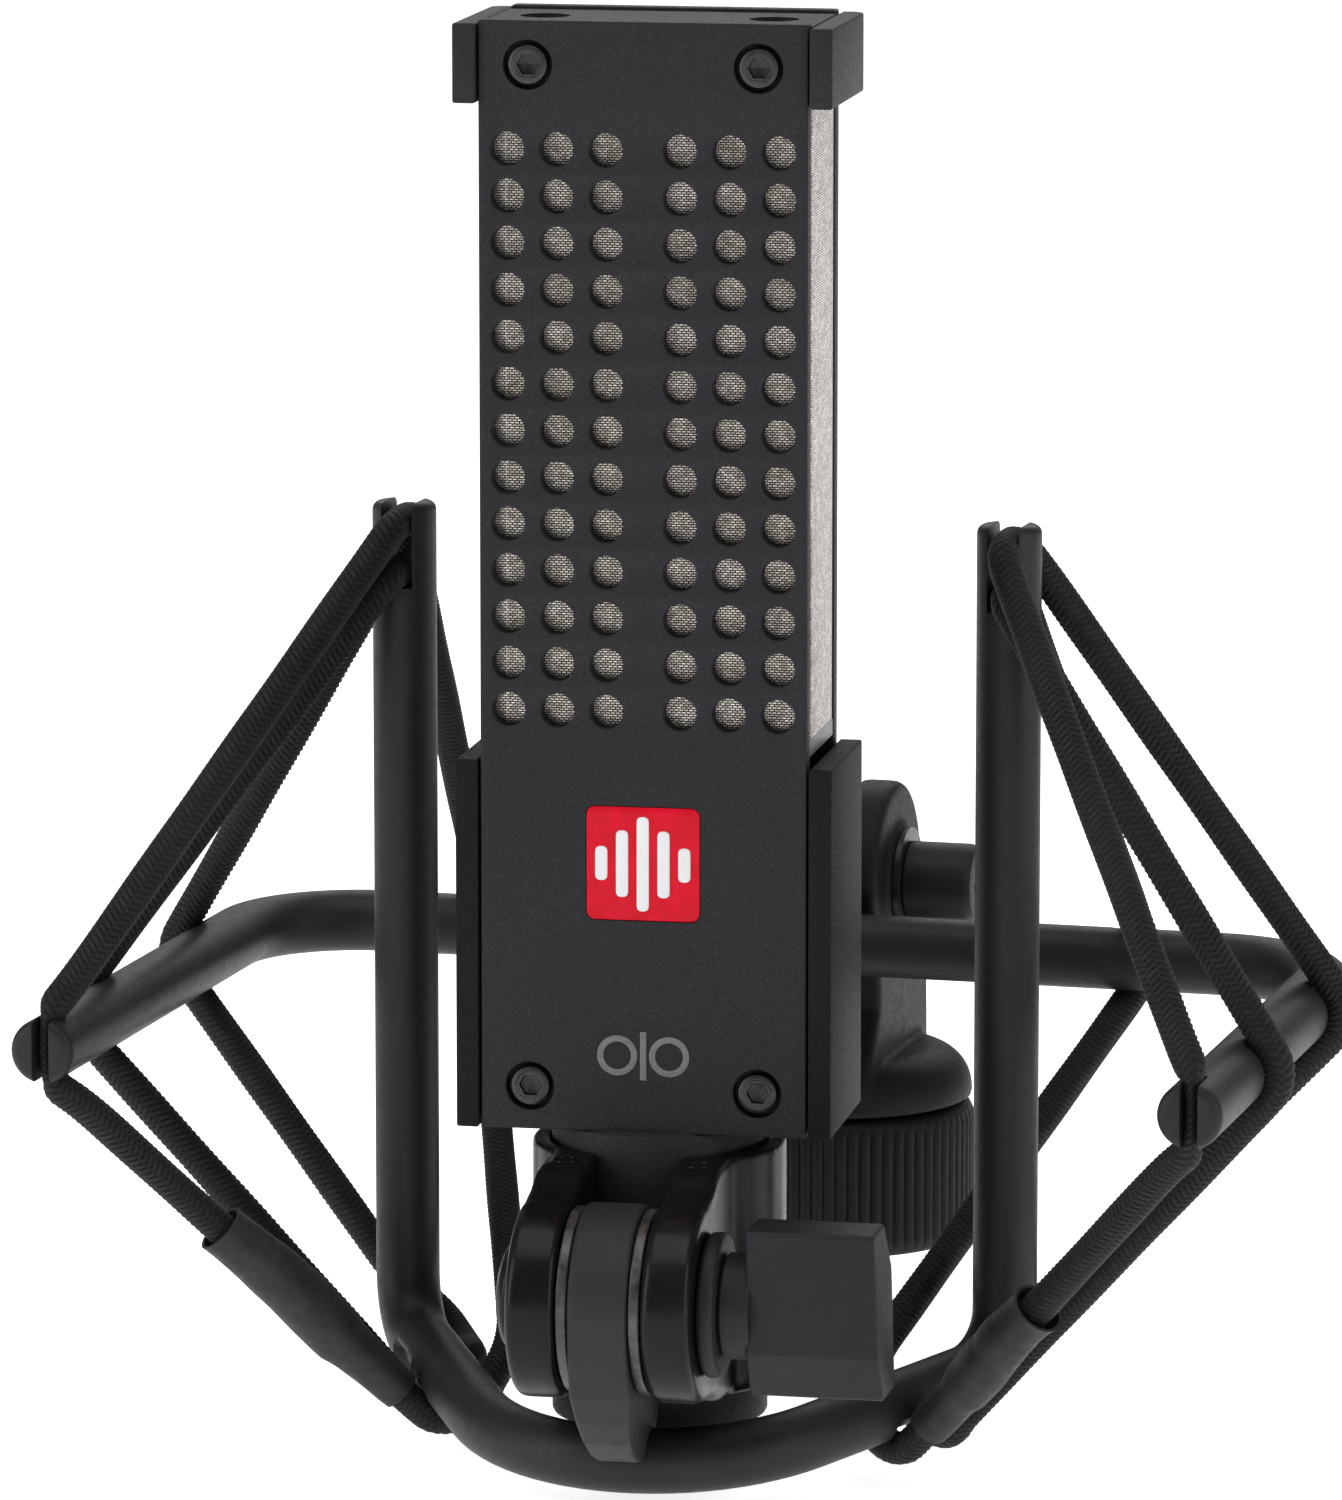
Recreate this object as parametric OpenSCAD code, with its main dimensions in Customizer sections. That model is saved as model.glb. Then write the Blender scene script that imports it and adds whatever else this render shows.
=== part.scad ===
// Ribbon microphone in an elastic suspension mount.
// Origin: centre of the stand thread's mouth. +Z up, -Y is the front, +X right.

/* [Microphone body] */
// Width of the front and rear plates
plate_w = 40; // [38:0.5:42]
// Height of the front and rear plates
plate_h = 135; // [134:1:136]
// Thickness of each plate
plate_t = 2.5; // [2:0.1:2.6]
// Depth over both plates
body_d = 22.5; // [22.5:0.1:23]
// Radius of the sound holes
hole_r = 2.05; // [1.8:0.05:2.2]
// Rows of sound holes
hole_rows = 13; // [11:1:13]
// Vertical pitch of the sound holes
hole_pitch = 5.66; // [5.4:0.02:5.66]
// Turn of the microphone in its clamp, degrees
mic_yaw = 5; // [0:1:10]
// Turn of the clamp and its lug round the frame's bow, degrees
clamp_yaw = 4; // [0:0.5:4]

/* [Connector neck] */
// Outer radius of the connector neck
neck_r = 13.25; // [13.1:0.05:13.25]
// Radius of the connector shell's bore
shell_r = 9.5; // [9.4:0.05:9.6]

/* [Suspension frames] */
// Radius of the frame rods
rod_r = 4; // [3.8:0.1:4]
// Half the distance between the two posts
post_x = 38.7; // [38.5:0.1:39]
// Height of the post tops
post_top = 105; // [104:1:108]
// Half the distance between the two arms
arm_x = 71.5; // [71:0.5:72]
// Bend radius of the outer frame
arm_bend = 16; // [14:1:18]
// Radius of the elastic cord
cord_r = 2.1; // [1.9:0.1:2.1]

/* [Stand fitting] */
// Radius of the knurled stand nut
nut_r = 18.5; // [18:0.5:19]
// Height of the knurled stand nut
nut_h = 18.3; // [18.1:0.1:18.4]
// Radius of the stand thread's wall
thread_r = 4; // [3.9:0.05:4.1]

/* [Hidden] */
$fn = 64;
e = 0.01;
mic_y = -86;            // neck axis, in front of the stand axis
mic_z = 33.3;           // lower edge of the plates
piv_y = -27;            // tilt axis, from the neck axis
piv_z = -17.2;          // tilt axis, below the plates
ring_top = -2.4;
ring_bot = -32.3;
neck_bot = -37;
bar_y = -17.5;          // rear bar of the outer frame
bar_z = 42;             // plane of the outer frame
tip_y = -111;           // front ends of the arms
swivel_z = 47.5;          // tilt axis of the stand swivel
// lower bow of the inner frame, in its own inclined plane
nose_y = -104.8;
nose_z = -5.7;
bow_tilt = 7.8;
bow_r = 25;
bow_a = 58;
bow_l = (post_x - bow_r*sin(bow_a))/cos(bow_a);
bow_d = bow_r*(1 - cos(bow_a)) + bow_l*sin(bow_a);
foot_y = nose_y + bow_d*cos(bow_tilt);
foot_z = nose_z + bow_d*sin(bow_tilt);
foot_r = 8;
// direction of the straight part of the bow, and its turn up into the post
bow_dir = [cos(bow_a), sin(bow_a)*cos(bow_tilt), sin(bow_a)*sin(bow_tilt)];
foot_heading = atan2(bow_dir[0], bow_dir[1]);
foot_turn = 90 - asin(bow_dir[2]);
foot_t = foot_r*tan(foot_turn/2);
groove_r = 2.8;
groove_a = 13.8;        // cord seats along the straight part of the bow
groove_b = 22.0;
seat2_y = -83;          // cord seats on the arms
seat3_y = -44;
seat4_x = 44;           // cord seat on the rear bar

// ---------- placing ----------
module at_clamp() { translate([0, mic_y, mic_z]) rotate([0, 0, clamp_yaw]) children(); }
module at_mic() { translate([0, mic_y, mic_z]) rotate([0, 0, mic_yaw]) children(); }
module at_pivot() { at_clamp() translate([0, piv_y, piv_z]) children(); }
module at_swivel() { translate([0, 0, swivel_z]) children(); }
module both() { children(); mirror([1, 0, 0]) children(); }
// solid along +X from x0 to x1 made from a profile in (y, z)
module along_x(x0, x1) { translate([x0, 0, 0]) rotate([90, 0, 90]) linear_extrude(x1 - x0) children(); }
module xcyl(r, x0, x1) { translate([x0, 0, 0]) rotate([0, 90, 0]) cylinder(r = r, h = x1 - x0); }

// ---------- microphone body ----------
module plate_blank() {
  c = 0.4; y0 = -body_d/2; y1 = y0 + plate_t; w = plate_w/2;
  linear_extrude(plate_h) polygon([[-w, y1], [-w, y0 + c], [-w + c, y0], [w - c, y0], [w, y0 + c], [w, y1]]);
}
module plate_holes() {
  for (x = [4.5, 10.5, 16.5], s = [-1, 1], i = [0:hole_rows - 1])
    translate([s*x, -body_d/2 - 1, 119.6 - i*hole_pitch]) rotate([-90, 0, 0]) cylinder(r = hole_r, h = plate_t + 2, $fn = 32);
  for (x = [-14, 14], z = [5.3, plate_h - 5.3]) translate([x, -body_d/2, z]) rotate([-90, 0, 0]) {
    translate([0, 0, -1]) cylinder(r = 1.7, h = plate_t + 2);
    translate([0, 0, -1]) cylinder(r = 3, h = 2.6);
  }
}
module front_plate() color([0.17, 0.17, 0.18]) at_mic() difference() {
  plate_blank();
  plate_holes();
  translate([-7.1, -body_d/2 - 1, 33.2 - 7.1]) cube([14.2, 1.5, 14.2]);
  translate([0, -body_d/2, 9.5]) rotate([90, 0, 0]) translate([0, 0, -0.25]) linear_extrude(1) pattern2d(0.05);
}
module rear_plate() color([0.17, 0.17, 0.18]) at_mic() rotate([0, 0, 180]) difference() { plate_blank(); plate_holes(); }

// two round lobes with a bar between them: the general sign of a two-sided pickup pattern
module pattern2d(g) {
  for (s = [-1, 1]) translate([s*3.2, 0]) difference() { circle(r = 2.5 + g); circle(r = 1.7 - g); }
  translate([-0.4 - g, -3 - g]) square([0.8 + 2*g, 6 + 2*g]);
}
module pattern_inlay() color([0.42, 0.42, 0.44]) at_mic()
  translate([0, -body_d/2, 9.5]) rotate([90, 0, 0]) translate([0, 0, -0.22]) linear_extrude(0.22) pattern2d(0);

module badge() color([0.82, 0.03, 0.12]) at_mic() translate([0, -body_d/2, 33.2]) difference() {
  translate([0, 0.48, 0]) rotate([90, 0, 0]) linear_extrude(0.58) union() {
    square([13.9, 12.3], center = true); square([12.3, 13.9], center = true);
    for (a = [-1, 1], b = [-1, 1]) translate([a*6.15, b*6.15]) circle(r = 0.8);
  }
}

module top_cap() color([0.16, 0.16, 0.17]) at_mic() difference() {
  union() {
    translate([-20.3, -8.7, 126.6]) cube([40.6, 17.4, 8]);
    both() translate([0, 0, 125]) linear_extrude(9.6)
      polygon([[20.25, -12.05], [22.45, -12.05], [23.05, -11.45], [23.05, 11.05], [22.05, 12.05], [20.25, 12.05]]);
  }
  for (x = [-14, 14]) translate([x, 0, 120]) { cylinder(r = 1.7, h = 20); translate([0, 0, 12.2]) cylinder(r = 3, h = 5); }
  for (x = [-14, 14], s = [-1, 1]) translate([x, s*9, plate_h - 5.3]) rotate([s*90, 0, 0]) cylinder(r = 1.3, h = 5.2);
}
module side_plate() translate([0, 0, 0]) linear_extrude(45.4)
  polygon([[20.3, -11.15], [20.7, -11.55], [22.6, -11.55], [23.1, -11.05], [23.1, 11.05], [22.6, 11.55], [20.7, 11.55], [20.3, 11.15]]);
module left_side_plate() color([0.16, 0.16, 0.17]) at_mic() mirror([1, 0, 0]) side_plate();
module right_side_plate() color([0.16, 0.16, 0.17]) at_mic() side_plate();

module base_block() color([0.2, 0.2, 0.21]) at_mic() difference() {
  translate([-20.2, -8.7, 0.4]) cube([40.4, 17.4, 7.6]);
  translate([0, 0, -1]) cylinder(r = 6.55, h = 12);
  for (x = [-14, 14], s = [-1, 1]) translate([x, s*9, 5.3]) rotate([s*90, 0, 0]) cylinder(r = 1.5, h = 6);
  for (x = [-16.4, 16.4]) translate([x, 0, 4]) cylinder(r = 1.05, h = 6);
}
module shelf_plate() color([0.3, 0.3, 0.31]) at_mic() difference() {
  translate([-19.9, -8.6, 46.4]) cube([39.8, 17.2, 2]);
  translate([0, 0, 45]) cylinder(r = 2.5, h = 5);
  for (x = [-14, 14]) translate([x, 0, 45]) cylinder(r = 1.6, h = 5);
}
module mesh2d(d) { union() {
  square([2*(18.7), 2*(8.65) - 2*d], center = true);
  square([2*(19.95) - 2*d, 2*7.4], center = true);
  for (a = [-1, 1], b = [-1, 1]) translate([a*18.7, b*7.4]) circle(r = 1.25 - d);
} }
module mesh_screen() color([0.66, 0.62, 0.58]) at_mic() translate([0, 0, 48.5]) linear_extrude(77.9)
  difference() { mesh2d(0); mesh2d(0.35); }

module socket_screw(head_r, head_h, len, r) {  // head at z 0..head_h, shank below
  difference() { cylinder(r = head_r, h = head_h); translate([0, 0, head_h - 1]) cylinder(r = 1.45, h = 2, $fn = 6); }
  translate([0, 0, -len]) cylinder(r = r, h = len + 0.2);
}
module plate_screws() color([0.1, 0.1, 0.1]) at_mic() for (q = [0, 180]) rotate([0, 0, q])
  for (x = [-14, 14], z = [5.3, plate_h - 5.3])
    translate([x, -body_d/2 + 1.6, z]) rotate([90, 0, 0]) rotate([0, 0, 30]) socket_screw(2.4, 1.5, 5, z < 20 ? 1.45 : 1.25);
module cap_screws() color([0.1, 0.1, 0.1]) at_mic() for (x = [-14, 14]) translate([x, 0, 132.2]) socket_screw(2.4, 1.6, 11, 1.25);

// ---------- ribbon motor ----------
module pole_frame() color([0.45, 0.45, 0.47]) at_mic() difference() {
  translate([-16.4, -5, 52]) cube([32.8, 10, 72]);
  translate([-12.2, -6, 56]) cube([24.4, 12, 64]);
  translate([-3.6, -6, 50]) cube([7.2, 12, 80]);
  for (x = [-14, 14]) { translate([x, 0, 117]) cylinder(r = 1.3, h = 10); translate([x, 0, 50]) cylinder(r = 1.3, h = 9); }
}
module magnets() color([0.55, 0.55, 0.57]) at_mic() both() translate([3.0, -3.5, 56.2]) cube([9.0, 7, 63.6]);
function ribbon_pt(i, o) = [(i%2 == 0 ? 0.5 : -0.5) + o, 59 + i*1.0];
module ribbon() color([0.85, 0.85, 0.87]) at_mic() {
  n = 58;
  rotate([90, 0, 90]) translate([0, 0, -2.3]) linear_extrude(4.6) polygon(concat(
    [[-0.05, 52.6], [0.07, 52.6], [0.07, 58.5]], [for (i = [0:n]) ribbon_pt(i, 0.06)], [[0.07, 117.6], [0.07, 123.4], [-0.05, 123.4], [-0.05, 117.5]],
    [for (i = [n:-1:0]) ribbon_pt(i, -0.06)], [[-0.05, 58.5]]));
}
module ribbon_clamps() color([0.8, 0.68, 0.35]) at_mic() for (z = [52.4, 120.2], s = [0, 180]) rotate([0, 0, s])
  translate([-3.4, 0.12, z]) cube([6.8, 4, 3.4]);
module motor_screws() color([0.6, 0.6, 0.62]) at_mic() for (x = [-14, 14]) translate([x, 0, 46.3]) mirror([0, 0, 1]) socket_screw(2.6, 1.8, 10.5, 1.25);

// ---------- output transformer ----------
module transformer_core() color([0.5, 0.5, 0.52]) at_mic() difference() {
  translate([-12.15, -4.5, 13.85]) cube([24.3, 9, 24.3]);
  both() translate([4, -6, 18]) cube([4, 12, 16]);
}
module transformer_coil() color([0.55, 0.3, 0.12]) at_mic() difference() {
  translate([-7.8, -8, 18.2]) cube([15.6, 16, 15.6]);
  translate([-4.2, -4.7, 17]) cube([8.4, 9.4, 18]);
}
module transformer_bracket() color([0.6, 0.6, 0.62]) at_mic() difference() {
  union() {
    translate([-14, -4.5, 12.2]) cube([28, 9, 1.6]);
    both() translate([12.2, -4.5, 8.1]) cube([1.8, 9, 32]);
    both() translate([10.0, -4.5, 38.2]) cube([4, 9, 1.9]);
    both() translate([12.2, -4.5, 8.1]) cube([6.6, 9, 1.5]);
  }
  for (x = [-16.4, 16.4]) translate([x, 0, 7]) cylinder(r = 1.2, h = 5);
}
module bracket_screws() color([0.6, 0.6, 0.62]) at_mic() for (x = [-16.4, 16.4]) translate([x, 0, 9.65]) socket_screw(1.9, 1.6, 5, 1.0);

// ---------- connector ----------
module connector_neck() color([0.15, 0.15, 0.16]) at_mic() difference() {
  union() {
    translate([0, 0, neck_bot]) cylinder(r = neck_r, h = -0.3 - neck_bot);
    translate([0, 0, -1]) cylinder(r = 8.5, h = 1.3);
    cylinder(r = 6.5, h = 11);
  }
  translate([0, 0, neck_bot - 1]) cylinder(r = shell_r, h = 21);
  translate([0, 0, neck_bot - 1]) cylinder(r = 5, h = 60);
}
module neck_nut() color([0.6, 0.6, 0.62]) at_mic() translate([0, 0, 8.05]) difference() {
  cylinder(r = 8.4, h = 2.6); translate([0, 0, -1]) cylinder(r = 6.54, h = 5);
  for (a = [0, 90]) rotate([0, 0, a]) translate([-10, -0.8, 1.6]) cube([20, 1.6, 2]);
}
pins = [[-4.0, 2.4], [4.0, 2.4], [0, -4.7]];
module connector_insert() color([0.08, 0.08, 0.08]) at_mic() difference() {
  translate([0, 0, neck_bot + 15.9]) cylinder(r = shell_r - 0.05, h = 4);
  for (p = pins) translate([p[0], p[1], neck_bot + 10]) cylinder(r = 1.22, h = 20);
}
module connector_pins() color([0.85, 0.72, 0.4]) at_mic() for (p = pins) translate([p[0], p[1], neck_bot + 3.4]) {
  cylinder(r1 = 0.8, r2 = 1.2, h = 0.8); translate([0, 0, 0.8]) cylinder(r = 1.2, h = 15.5);
}

// ---------- tilting clamp ----------
module ear2d() {
  translate([piv_y, piv_z]) circle(r = 12);
  polygon([[piv_y, piv_z + 12], [-20, ring_top], [-9, ring_top], [-9, ring_bot], [-17, ring_bot + 0.6], [-22, piv_z - 12.6], [piv_y, piv_z - 12]]);
}
module clamp_ring() color([0.05, 0.05, 0.055]) at_clamp() difference() {
  union() {
    translate([0, 0, ring_bot]) cylinder(r = 15.6, h = ring_top - ring_bot);
    both() along_x(5.2, 11.3) ear2d();
  }
  translate([0, 0, ring_bot - 1]) cylinder(r = neck_r + 0.08, h = 40);
  translate([-5.2, -50, ring_bot - 10]) cube([10.4, 42, 60]);
  translate([0, piv_y, piv_z]) xcyl(3.05, -20, 20);
  both() translate([8.2, -15.5, ring_top - 0.5]) cylinder(r = 1.5, h = 2);
}
module tilt_bolt() color([0.08, 0.08, 0.085]) at_pivot() {
  xcyl(3, -11.5, 21.5);
  translate([-11.32, 0, 0]) rotate([0, -90, 0]) rotate_extrude() polygon(concat([[0, 0]], [for (i = [0:8]) [6.6*cos(i*11.25), 0.9 + 1.9*sin(i*11.25)]], [[0, 2.8]], []) );
  translate([-12.3, 0, 0]) xcyl(6.6, 0, 0.96);
}
module friction_washers() color([0.45, 0.42, 0.4]) at_pivot() both() difference() { xcyl(11.2, 3.7, 5.1); xcyl(3.05, 0, 9); }
module knob_washer() color([0.09, 0.09, 0.095]) at_pivot() difference() {
  translate([11.4, 0, 0]) rotate([0, 90, 0]) rotate_extrude() polygon([[3.05, 0], [8.2, 0], [8.8, 0.6], [8.8, 1.5], [8.2, 2.1], [3.05, 2.1]]);
}
wing2d = [[-5.4, 9.8], [-4.9, 10.4], [1.6, 10.4], [2.4, 9.9], [5.4, 4.6], [5.4, -9.8], [4.9, -10.4], [-1.6, -10.4], [-2.4, -9.9], [-5.4, -4.6]];
module wing_knob() difference() {
  union() {
    xcyl(6.4, 13.6, 17.6);
    along_x(16.9, 33.2) polygon(wing2d);
  }
  xcyl(4.6, 13, 25);
}
module wing_insert() difference() { xcyl(4.55, 13.7, 24.9); xcyl(3.06, 13, 23.5); }
module tilt_knob() color([0.1, 0.1, 0.105]) at_pivot() wing_knob();
module tilt_knob_insert() color([0.75, 0.6, 0.3]) at_pivot() wing_insert();

// ---------- inner frame ----------
module zrod(r, z0, z1) translate([0, 0, z0]) cylinder(r = r, h = z1 - z0);
// runs along local +Y from y0 to y1, with a waist for the cord at each seat
module yrod(y0, y1, seats, w) difference() {
  translate([0, y0, 0]) rotate([-90, 0, 0]) cylinder(r = rod_r, h = y1 - y0);
  for (s = seats) translate([0, s - w/2, 0]) rotate([-90, 0, 0]) difference() { cylinder(r = rod_r + 2, h = w); translate([0, 0, -1]) cylinder(r = groove_r, h = w + 2); }
}
module at_bow() { translate([0, nose_y, nose_z]) rotate([bow_tilt, 0, 0]) children(); }
// short ring over a joint between a bend and a straight length
module joint_ring() rotate([-90, 0, 0]) translate([0, 0, -0.4]) cylinder(r = rod_r + 0.06, h = 0.7);
module inner_yoke() color([0.13, 0.13, 0.14]) {
  at_bow() translate([0, bow_r, 0]) rotate([0, 0, -90 - bow_a]) rotate_extrude(angle = 2*bow_a, $fn = 96) translate([bow_r, 0]) circle(r = rod_r);
  both() {
    at_bow() translate([bow_r*sin(bow_a), bow_r*(1 - cos(bow_a)), 0]) rotate([0, 0, bow_a - 90]) {
      difference() { yrod(0.1, bow_l - foot_t - 0.1, [groove_a], 4.8); yrodcut(groove_b - 0.45, 7.9); }
      rotate([0, 0, 180]) joint_ring();
      translate([0, bow_l - foot_t, 0]) joint_ring();
    }
    translate([post_x, foot_y, foot_z + foot_t]) rotate([0, 0, 90 - foot_heading]) translate([-foot_r, 0, 0]) rotate([90, 0, 0]) rotate([0, 0, -foot_turn])
      rotate_extrude(angle = foot_turn, $fn = 96) translate([foot_r, 0]) circle(r = rod_r);
    translate([post_x, foot_y, foot_z + foot_t]) rotate([-90, 0, 0]) joint_ring();
    translate([post_x, foot_y, 0]) difference() {
      union() {
        zrod(rod_r, foot_z + foot_t + 0.1, post_top - 1.2);
        translate([0, 0, post_top - 1.2]) rotate_extrude() polygon(concat([[0, 0]], [for (i = [0:6]) [rod_r - 1.2 + 1.2*cos(i*15), 1.2*sin(i*15)]], [[0, 1.2]]));
      }
      translate([-2, -10, post_top - 10.6]) cube([4, 20, 20]);
    }
  }
}
module yrodcut(c, w) translate([0, c - w/2, 0]) rotate([-90, 0, 0]) difference() { cylinder(r = rod_r + 2, h = w); translate([0, 0, -1]) cylinder(r = groove_r, h = w + 2); }

function lug_pts() = [[piv_y - 11.6, piv_z], [piv_y - 11, piv_z - 7], [-37.2, -27], [-35.2, -30.6], [-32.4, -33.6], [-29.2, -35.9], [-26, -37.3], [-22.6, -37.9], [-19, -38.2], [-15, -34.5], [piv_y + 11.4, piv_z - 3]];
module centre_lug() color([0.14, 0.14, 0.15]) difference() {
  at_clamp() along_x(-3.6, 3.6) { translate([piv_y, piv_z]) circle(r = 11.7); polygon(lug_pts()); }
  at_pivot() xcyl(3.08, -10, 10);
  at_bow() translate([0, bow_r, 0]) rotate_extrude($fn = 96) translate([bow_r, 0]) circle(r = rod_r + 0.02);
}

// ---------- outer frame ----------
module outer_yoke() color([0.13, 0.13, 0.14]) translate([0, 0, bar_z]) {
  difference() {
    translate([-arm_x + arm_bend, bar_y, 0]) rotate([0, 90, 0]) cylinder(r = rod_r, h = 2*(arm_x - arm_bend));
    for (s = [-1, 1]) translate([s*seat4_x, bar_y, 0]) rotate([0, 0, -90]) yrodcut(0, 4.8);
  }
  both() {
    translate([arm_x - arm_bend, bar_y - arm_bend, 0]) rotate_extrude(angle = 90, $fn = 96) translate([arm_bend, 0]) circle(r = rod_r);
    translate([arm_x, 0, 0]) difference() {
      union() {
        yrod(tip_y + 1.2, bar_y - arm_bend, [seat2_y, seat3_y - 0.2], 5.6);
        translate([0, tip_y + 1.2, 0]) rotate([90, 0, 0]) rotate_extrude() polygon(concat([[0, 0]], [for (i = [0:6]) [rod_r - 1.2 + 1.2*cos(i*15), 1.2*sin(i*15)]], [[0, 1.2]]));
      }
      translate([-1.1, tip_y - 2, -10]) cube([2.2, 8, 20]);
    }
  }
}
module outer_lug() color([0.13, 0.13, 0.14]) difference() {
  union() {
    at_swivel() xcyl(10.5, -3.3, 3.3);
    along_x(-3.3, 3.3) polygon([[bar_y - 1.5, bar_z - 5.5], [0, swivel_z - 10.4], [0, swivel_z + 10.4], [bar_y - 1.5, bar_z + 5.5]]);
  }
  at_swivel() xcyl(4.08, -10, 10);
  translate([0, bar_y, bar_z]) xcyl(rod_r + 0.02, -10, 10);
}

// ---------- elastic cord: one loop on each side, joined inside the sleeve ----------
wr = 5.35;
// point beside the bow's straight part: l along it, w from its axis, at an angle from outboard (0) to up (90)
function bow_pt(l, w, a) = let(x = bow_r*sin(bow_a) + l*cos(bow_a), d = bow_r*(1 - cos(bow_a)) + l*sin(bow_a), out = w*cos(a))
  [x + out*sin(bow_a), nose_y + d*cos(bow_tilt) - out*cos(bow_a)*cos(bow_tilt), nose_z + d*sin(bow_tilt) - out*cos(bow_a)*sin(bow_tilt) + w*sin(a)];
// wraps: lists of [point, radius] round the bow, an arm and the rear bar
function wrap_bow(l0, l1, a0, a1, n) = [for (i = [0:n]) let(t = i/n) [bow_pt(l0 + t*(l1 - l0), wr, a0 + t*(a1 - a0)), 1.8]];
function wrap_arm(y, a0, a1, n) = [for (i = [0:n]) let(q = a0 + i/n*(a1 - a0)) [[arm_x + 5.05*cos(q), y, bar_z + 5.05*sin(q)], 1.95]];
function wrap_rear(x, a0, a1, n) = [for (i = [0:n]) let(q = a0 + i/n*(a1 - a0)) [[x, bar_y + 5.05*cos(q), bar_z + 5.05*sin(q)], 1.95]];
function lead(p, q, d) = [p + d*unit(q - p), cord_r];
tip = [arm_x, tip_y + 3.4, bar_z];
slot_u = [post_x, foot_y, post_top - 2.7];
slot_l = [post_x, foot_y, post_top - 8.6];
in_a = bow_pt(groove_a, wr, -155);
by_b = bow_pt(groove_b - 2.4, 10.3, 172);   // where the strand to seat A leans past the turn at seat B
start_a = bow_pt(groove_a, wr, -53);
tip_in = tip + [-3.4, 2.2, -7.2];
split = start_a + 0.27*(tip_in - start_a);
gap = 0.6*unit(tip_in - start_a);
w2 = wrap_arm(seat2_y, -43, 30, 2);
w3 = wrap_arm(seat3_y, 30, -41, 2);
w4 = wrap_rear(seat4_x, 41, -54, 3);
wb = wrap_bow(groove_b + 0.3, groove_b - 1.4, -170, -26, 6);
// the strand from the arm's rear seat passes behind the post's foot
behind = [[[41.8, -59, 4], cord_r], [[36, -59, -0.2], cord_r], [[31.3, -64.6, -3], cord_r]];
wa = wrap_bow(groove_a, groove_a, -155, -53, 3);
function last(v) = v[len(v) - 1];
route = concat(
  [[split + gap, cord_r], [tip_in, cord_r], [tip + [-0.7, 0.4, -5.4], 1.2], [tip + [0, 0, -3.6], 0.85], [tip + [0, 0, 3.6], 0.85], [tip + [-0.6, 0.6, 5.4], 1.2], [tip + [-2.2, 2.6, 7.6], cord_r],
   [slot_u + [1.3, -6.9, -2.6], cord_r], [slot_u + [0, -4.4, -0.5], 1.65], [slot_u, 1.65], [slot_u + [0, 4.6, -0.5], 1.65], [slot_u + [1.6, 6.7, -2.8], cord_r]],
  [lead(w3[0][0], slot_u + [1.6, 6.7, -2.8], 4)], w3, [lead(last(w3)[0], behind[0][0], 4)], behind, wb, [lead(last(wb)[0], w2[0][0], 6), lead(w2[0][0], last(wb)[0], 4)], w2,
  [lead(last(w2)[0], slot_l + [2.7, -6.1, -3.4], 4), [slot_l + [2.7, -6.1, -3.4], 1.95], [slot_l + [0.1, -4.8, 0], 1.62], [slot_l, 1.65], [slot_l + [0, 4.6, -0.1], 1.65], [slot_l + [0.3, 6.8, -3], cord_r]],
  [lead(w4[0][0], slot_l + [0.3, 6.8, -3], 4)], w4, [lead(last(w4)[0], by_b, 4), [by_b, cord_r]],
  wa, [lead(start_a, tip_in, 5), [split - gap, cord_r]]);
function unit(v) = v/norm(v);
function tang(p, i) = i == 0 ? unit(p[1] - p[0]) : i == len(p) - 1 ? unit(p[i] - p[i - 1]) : unit(unit(p[i] - p[i - 1]) + unit(p[i + 1] - p[i]));
function carry(u, t) = unit(u - (u*t)*t);
function frames(p, i, u) = i == len(p) ? [] : let(t = tang(p, i), v = carry(u, t)) concat([[v, cross(t, v)]], frames(p, i + 1, v));
module sweep(rt, sides) {
  p = [for (q = rt) q[0]]; fr = frames(p, 0, [0.3, 0.5, 0.8]); n = len(p);
  pts = [for (i = [0:n - 1], k = [0:sides - 1]) p[i] + rt[i][1]*(cos(k*360/sides)*fr[i][0] + sin(k*360/sides)*fr[i][1])];
  polyhedron(pts, concat([[for (k = [0:sides - 1]) k]], [[for (k = [sides - 1:-1:0]) (n - 1)*sides + k]],
    [for (i = [0:n - 2], k = [0:sides - 1]) each [[i*sides + k, i*sides + (k + 1)%sides, (i + 1)*sides + k], [i*sides + (k + 1)%sides, (i + 1)*sides + (k + 1)%sides, (i + 1)*sides + k]]]), convexity = 10);
}
module elastic() mirror([0, 0, 0]) sweep(route, 8);
module elastic_left() color([0.11, 0.1, 0.11]) mirror([1, 0, 0]) elastic();
module elastic_right() color([0.11, 0.1, 0.11]) elastic();
module sleeve(t1) {
  a = start_a + 0.07*(tip_in - start_a); b = start_a + t1*(tip_in - start_a);
  d = b - a; L = norm(d);
  translate(a) rotate([0, acos(d[2]/L), atan2(d[1], d[0])]) rotate_extrude()
    polygon([[2.3, 0], [2.7, 0], [3.3, L*0.15], [3.6, L*0.45], [3.5, L*0.75], [2.8, L*0.93], [2.75, L], [2.3, L]]);
}
module splice_sleeve_left() color([0.2, 0.19, 0.2]) mirror([1, 0, 0]) sleeve(0.6);
module splice_sleeve_right() color([0.2, 0.19, 0.2]) sleeve(0.5);

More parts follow.
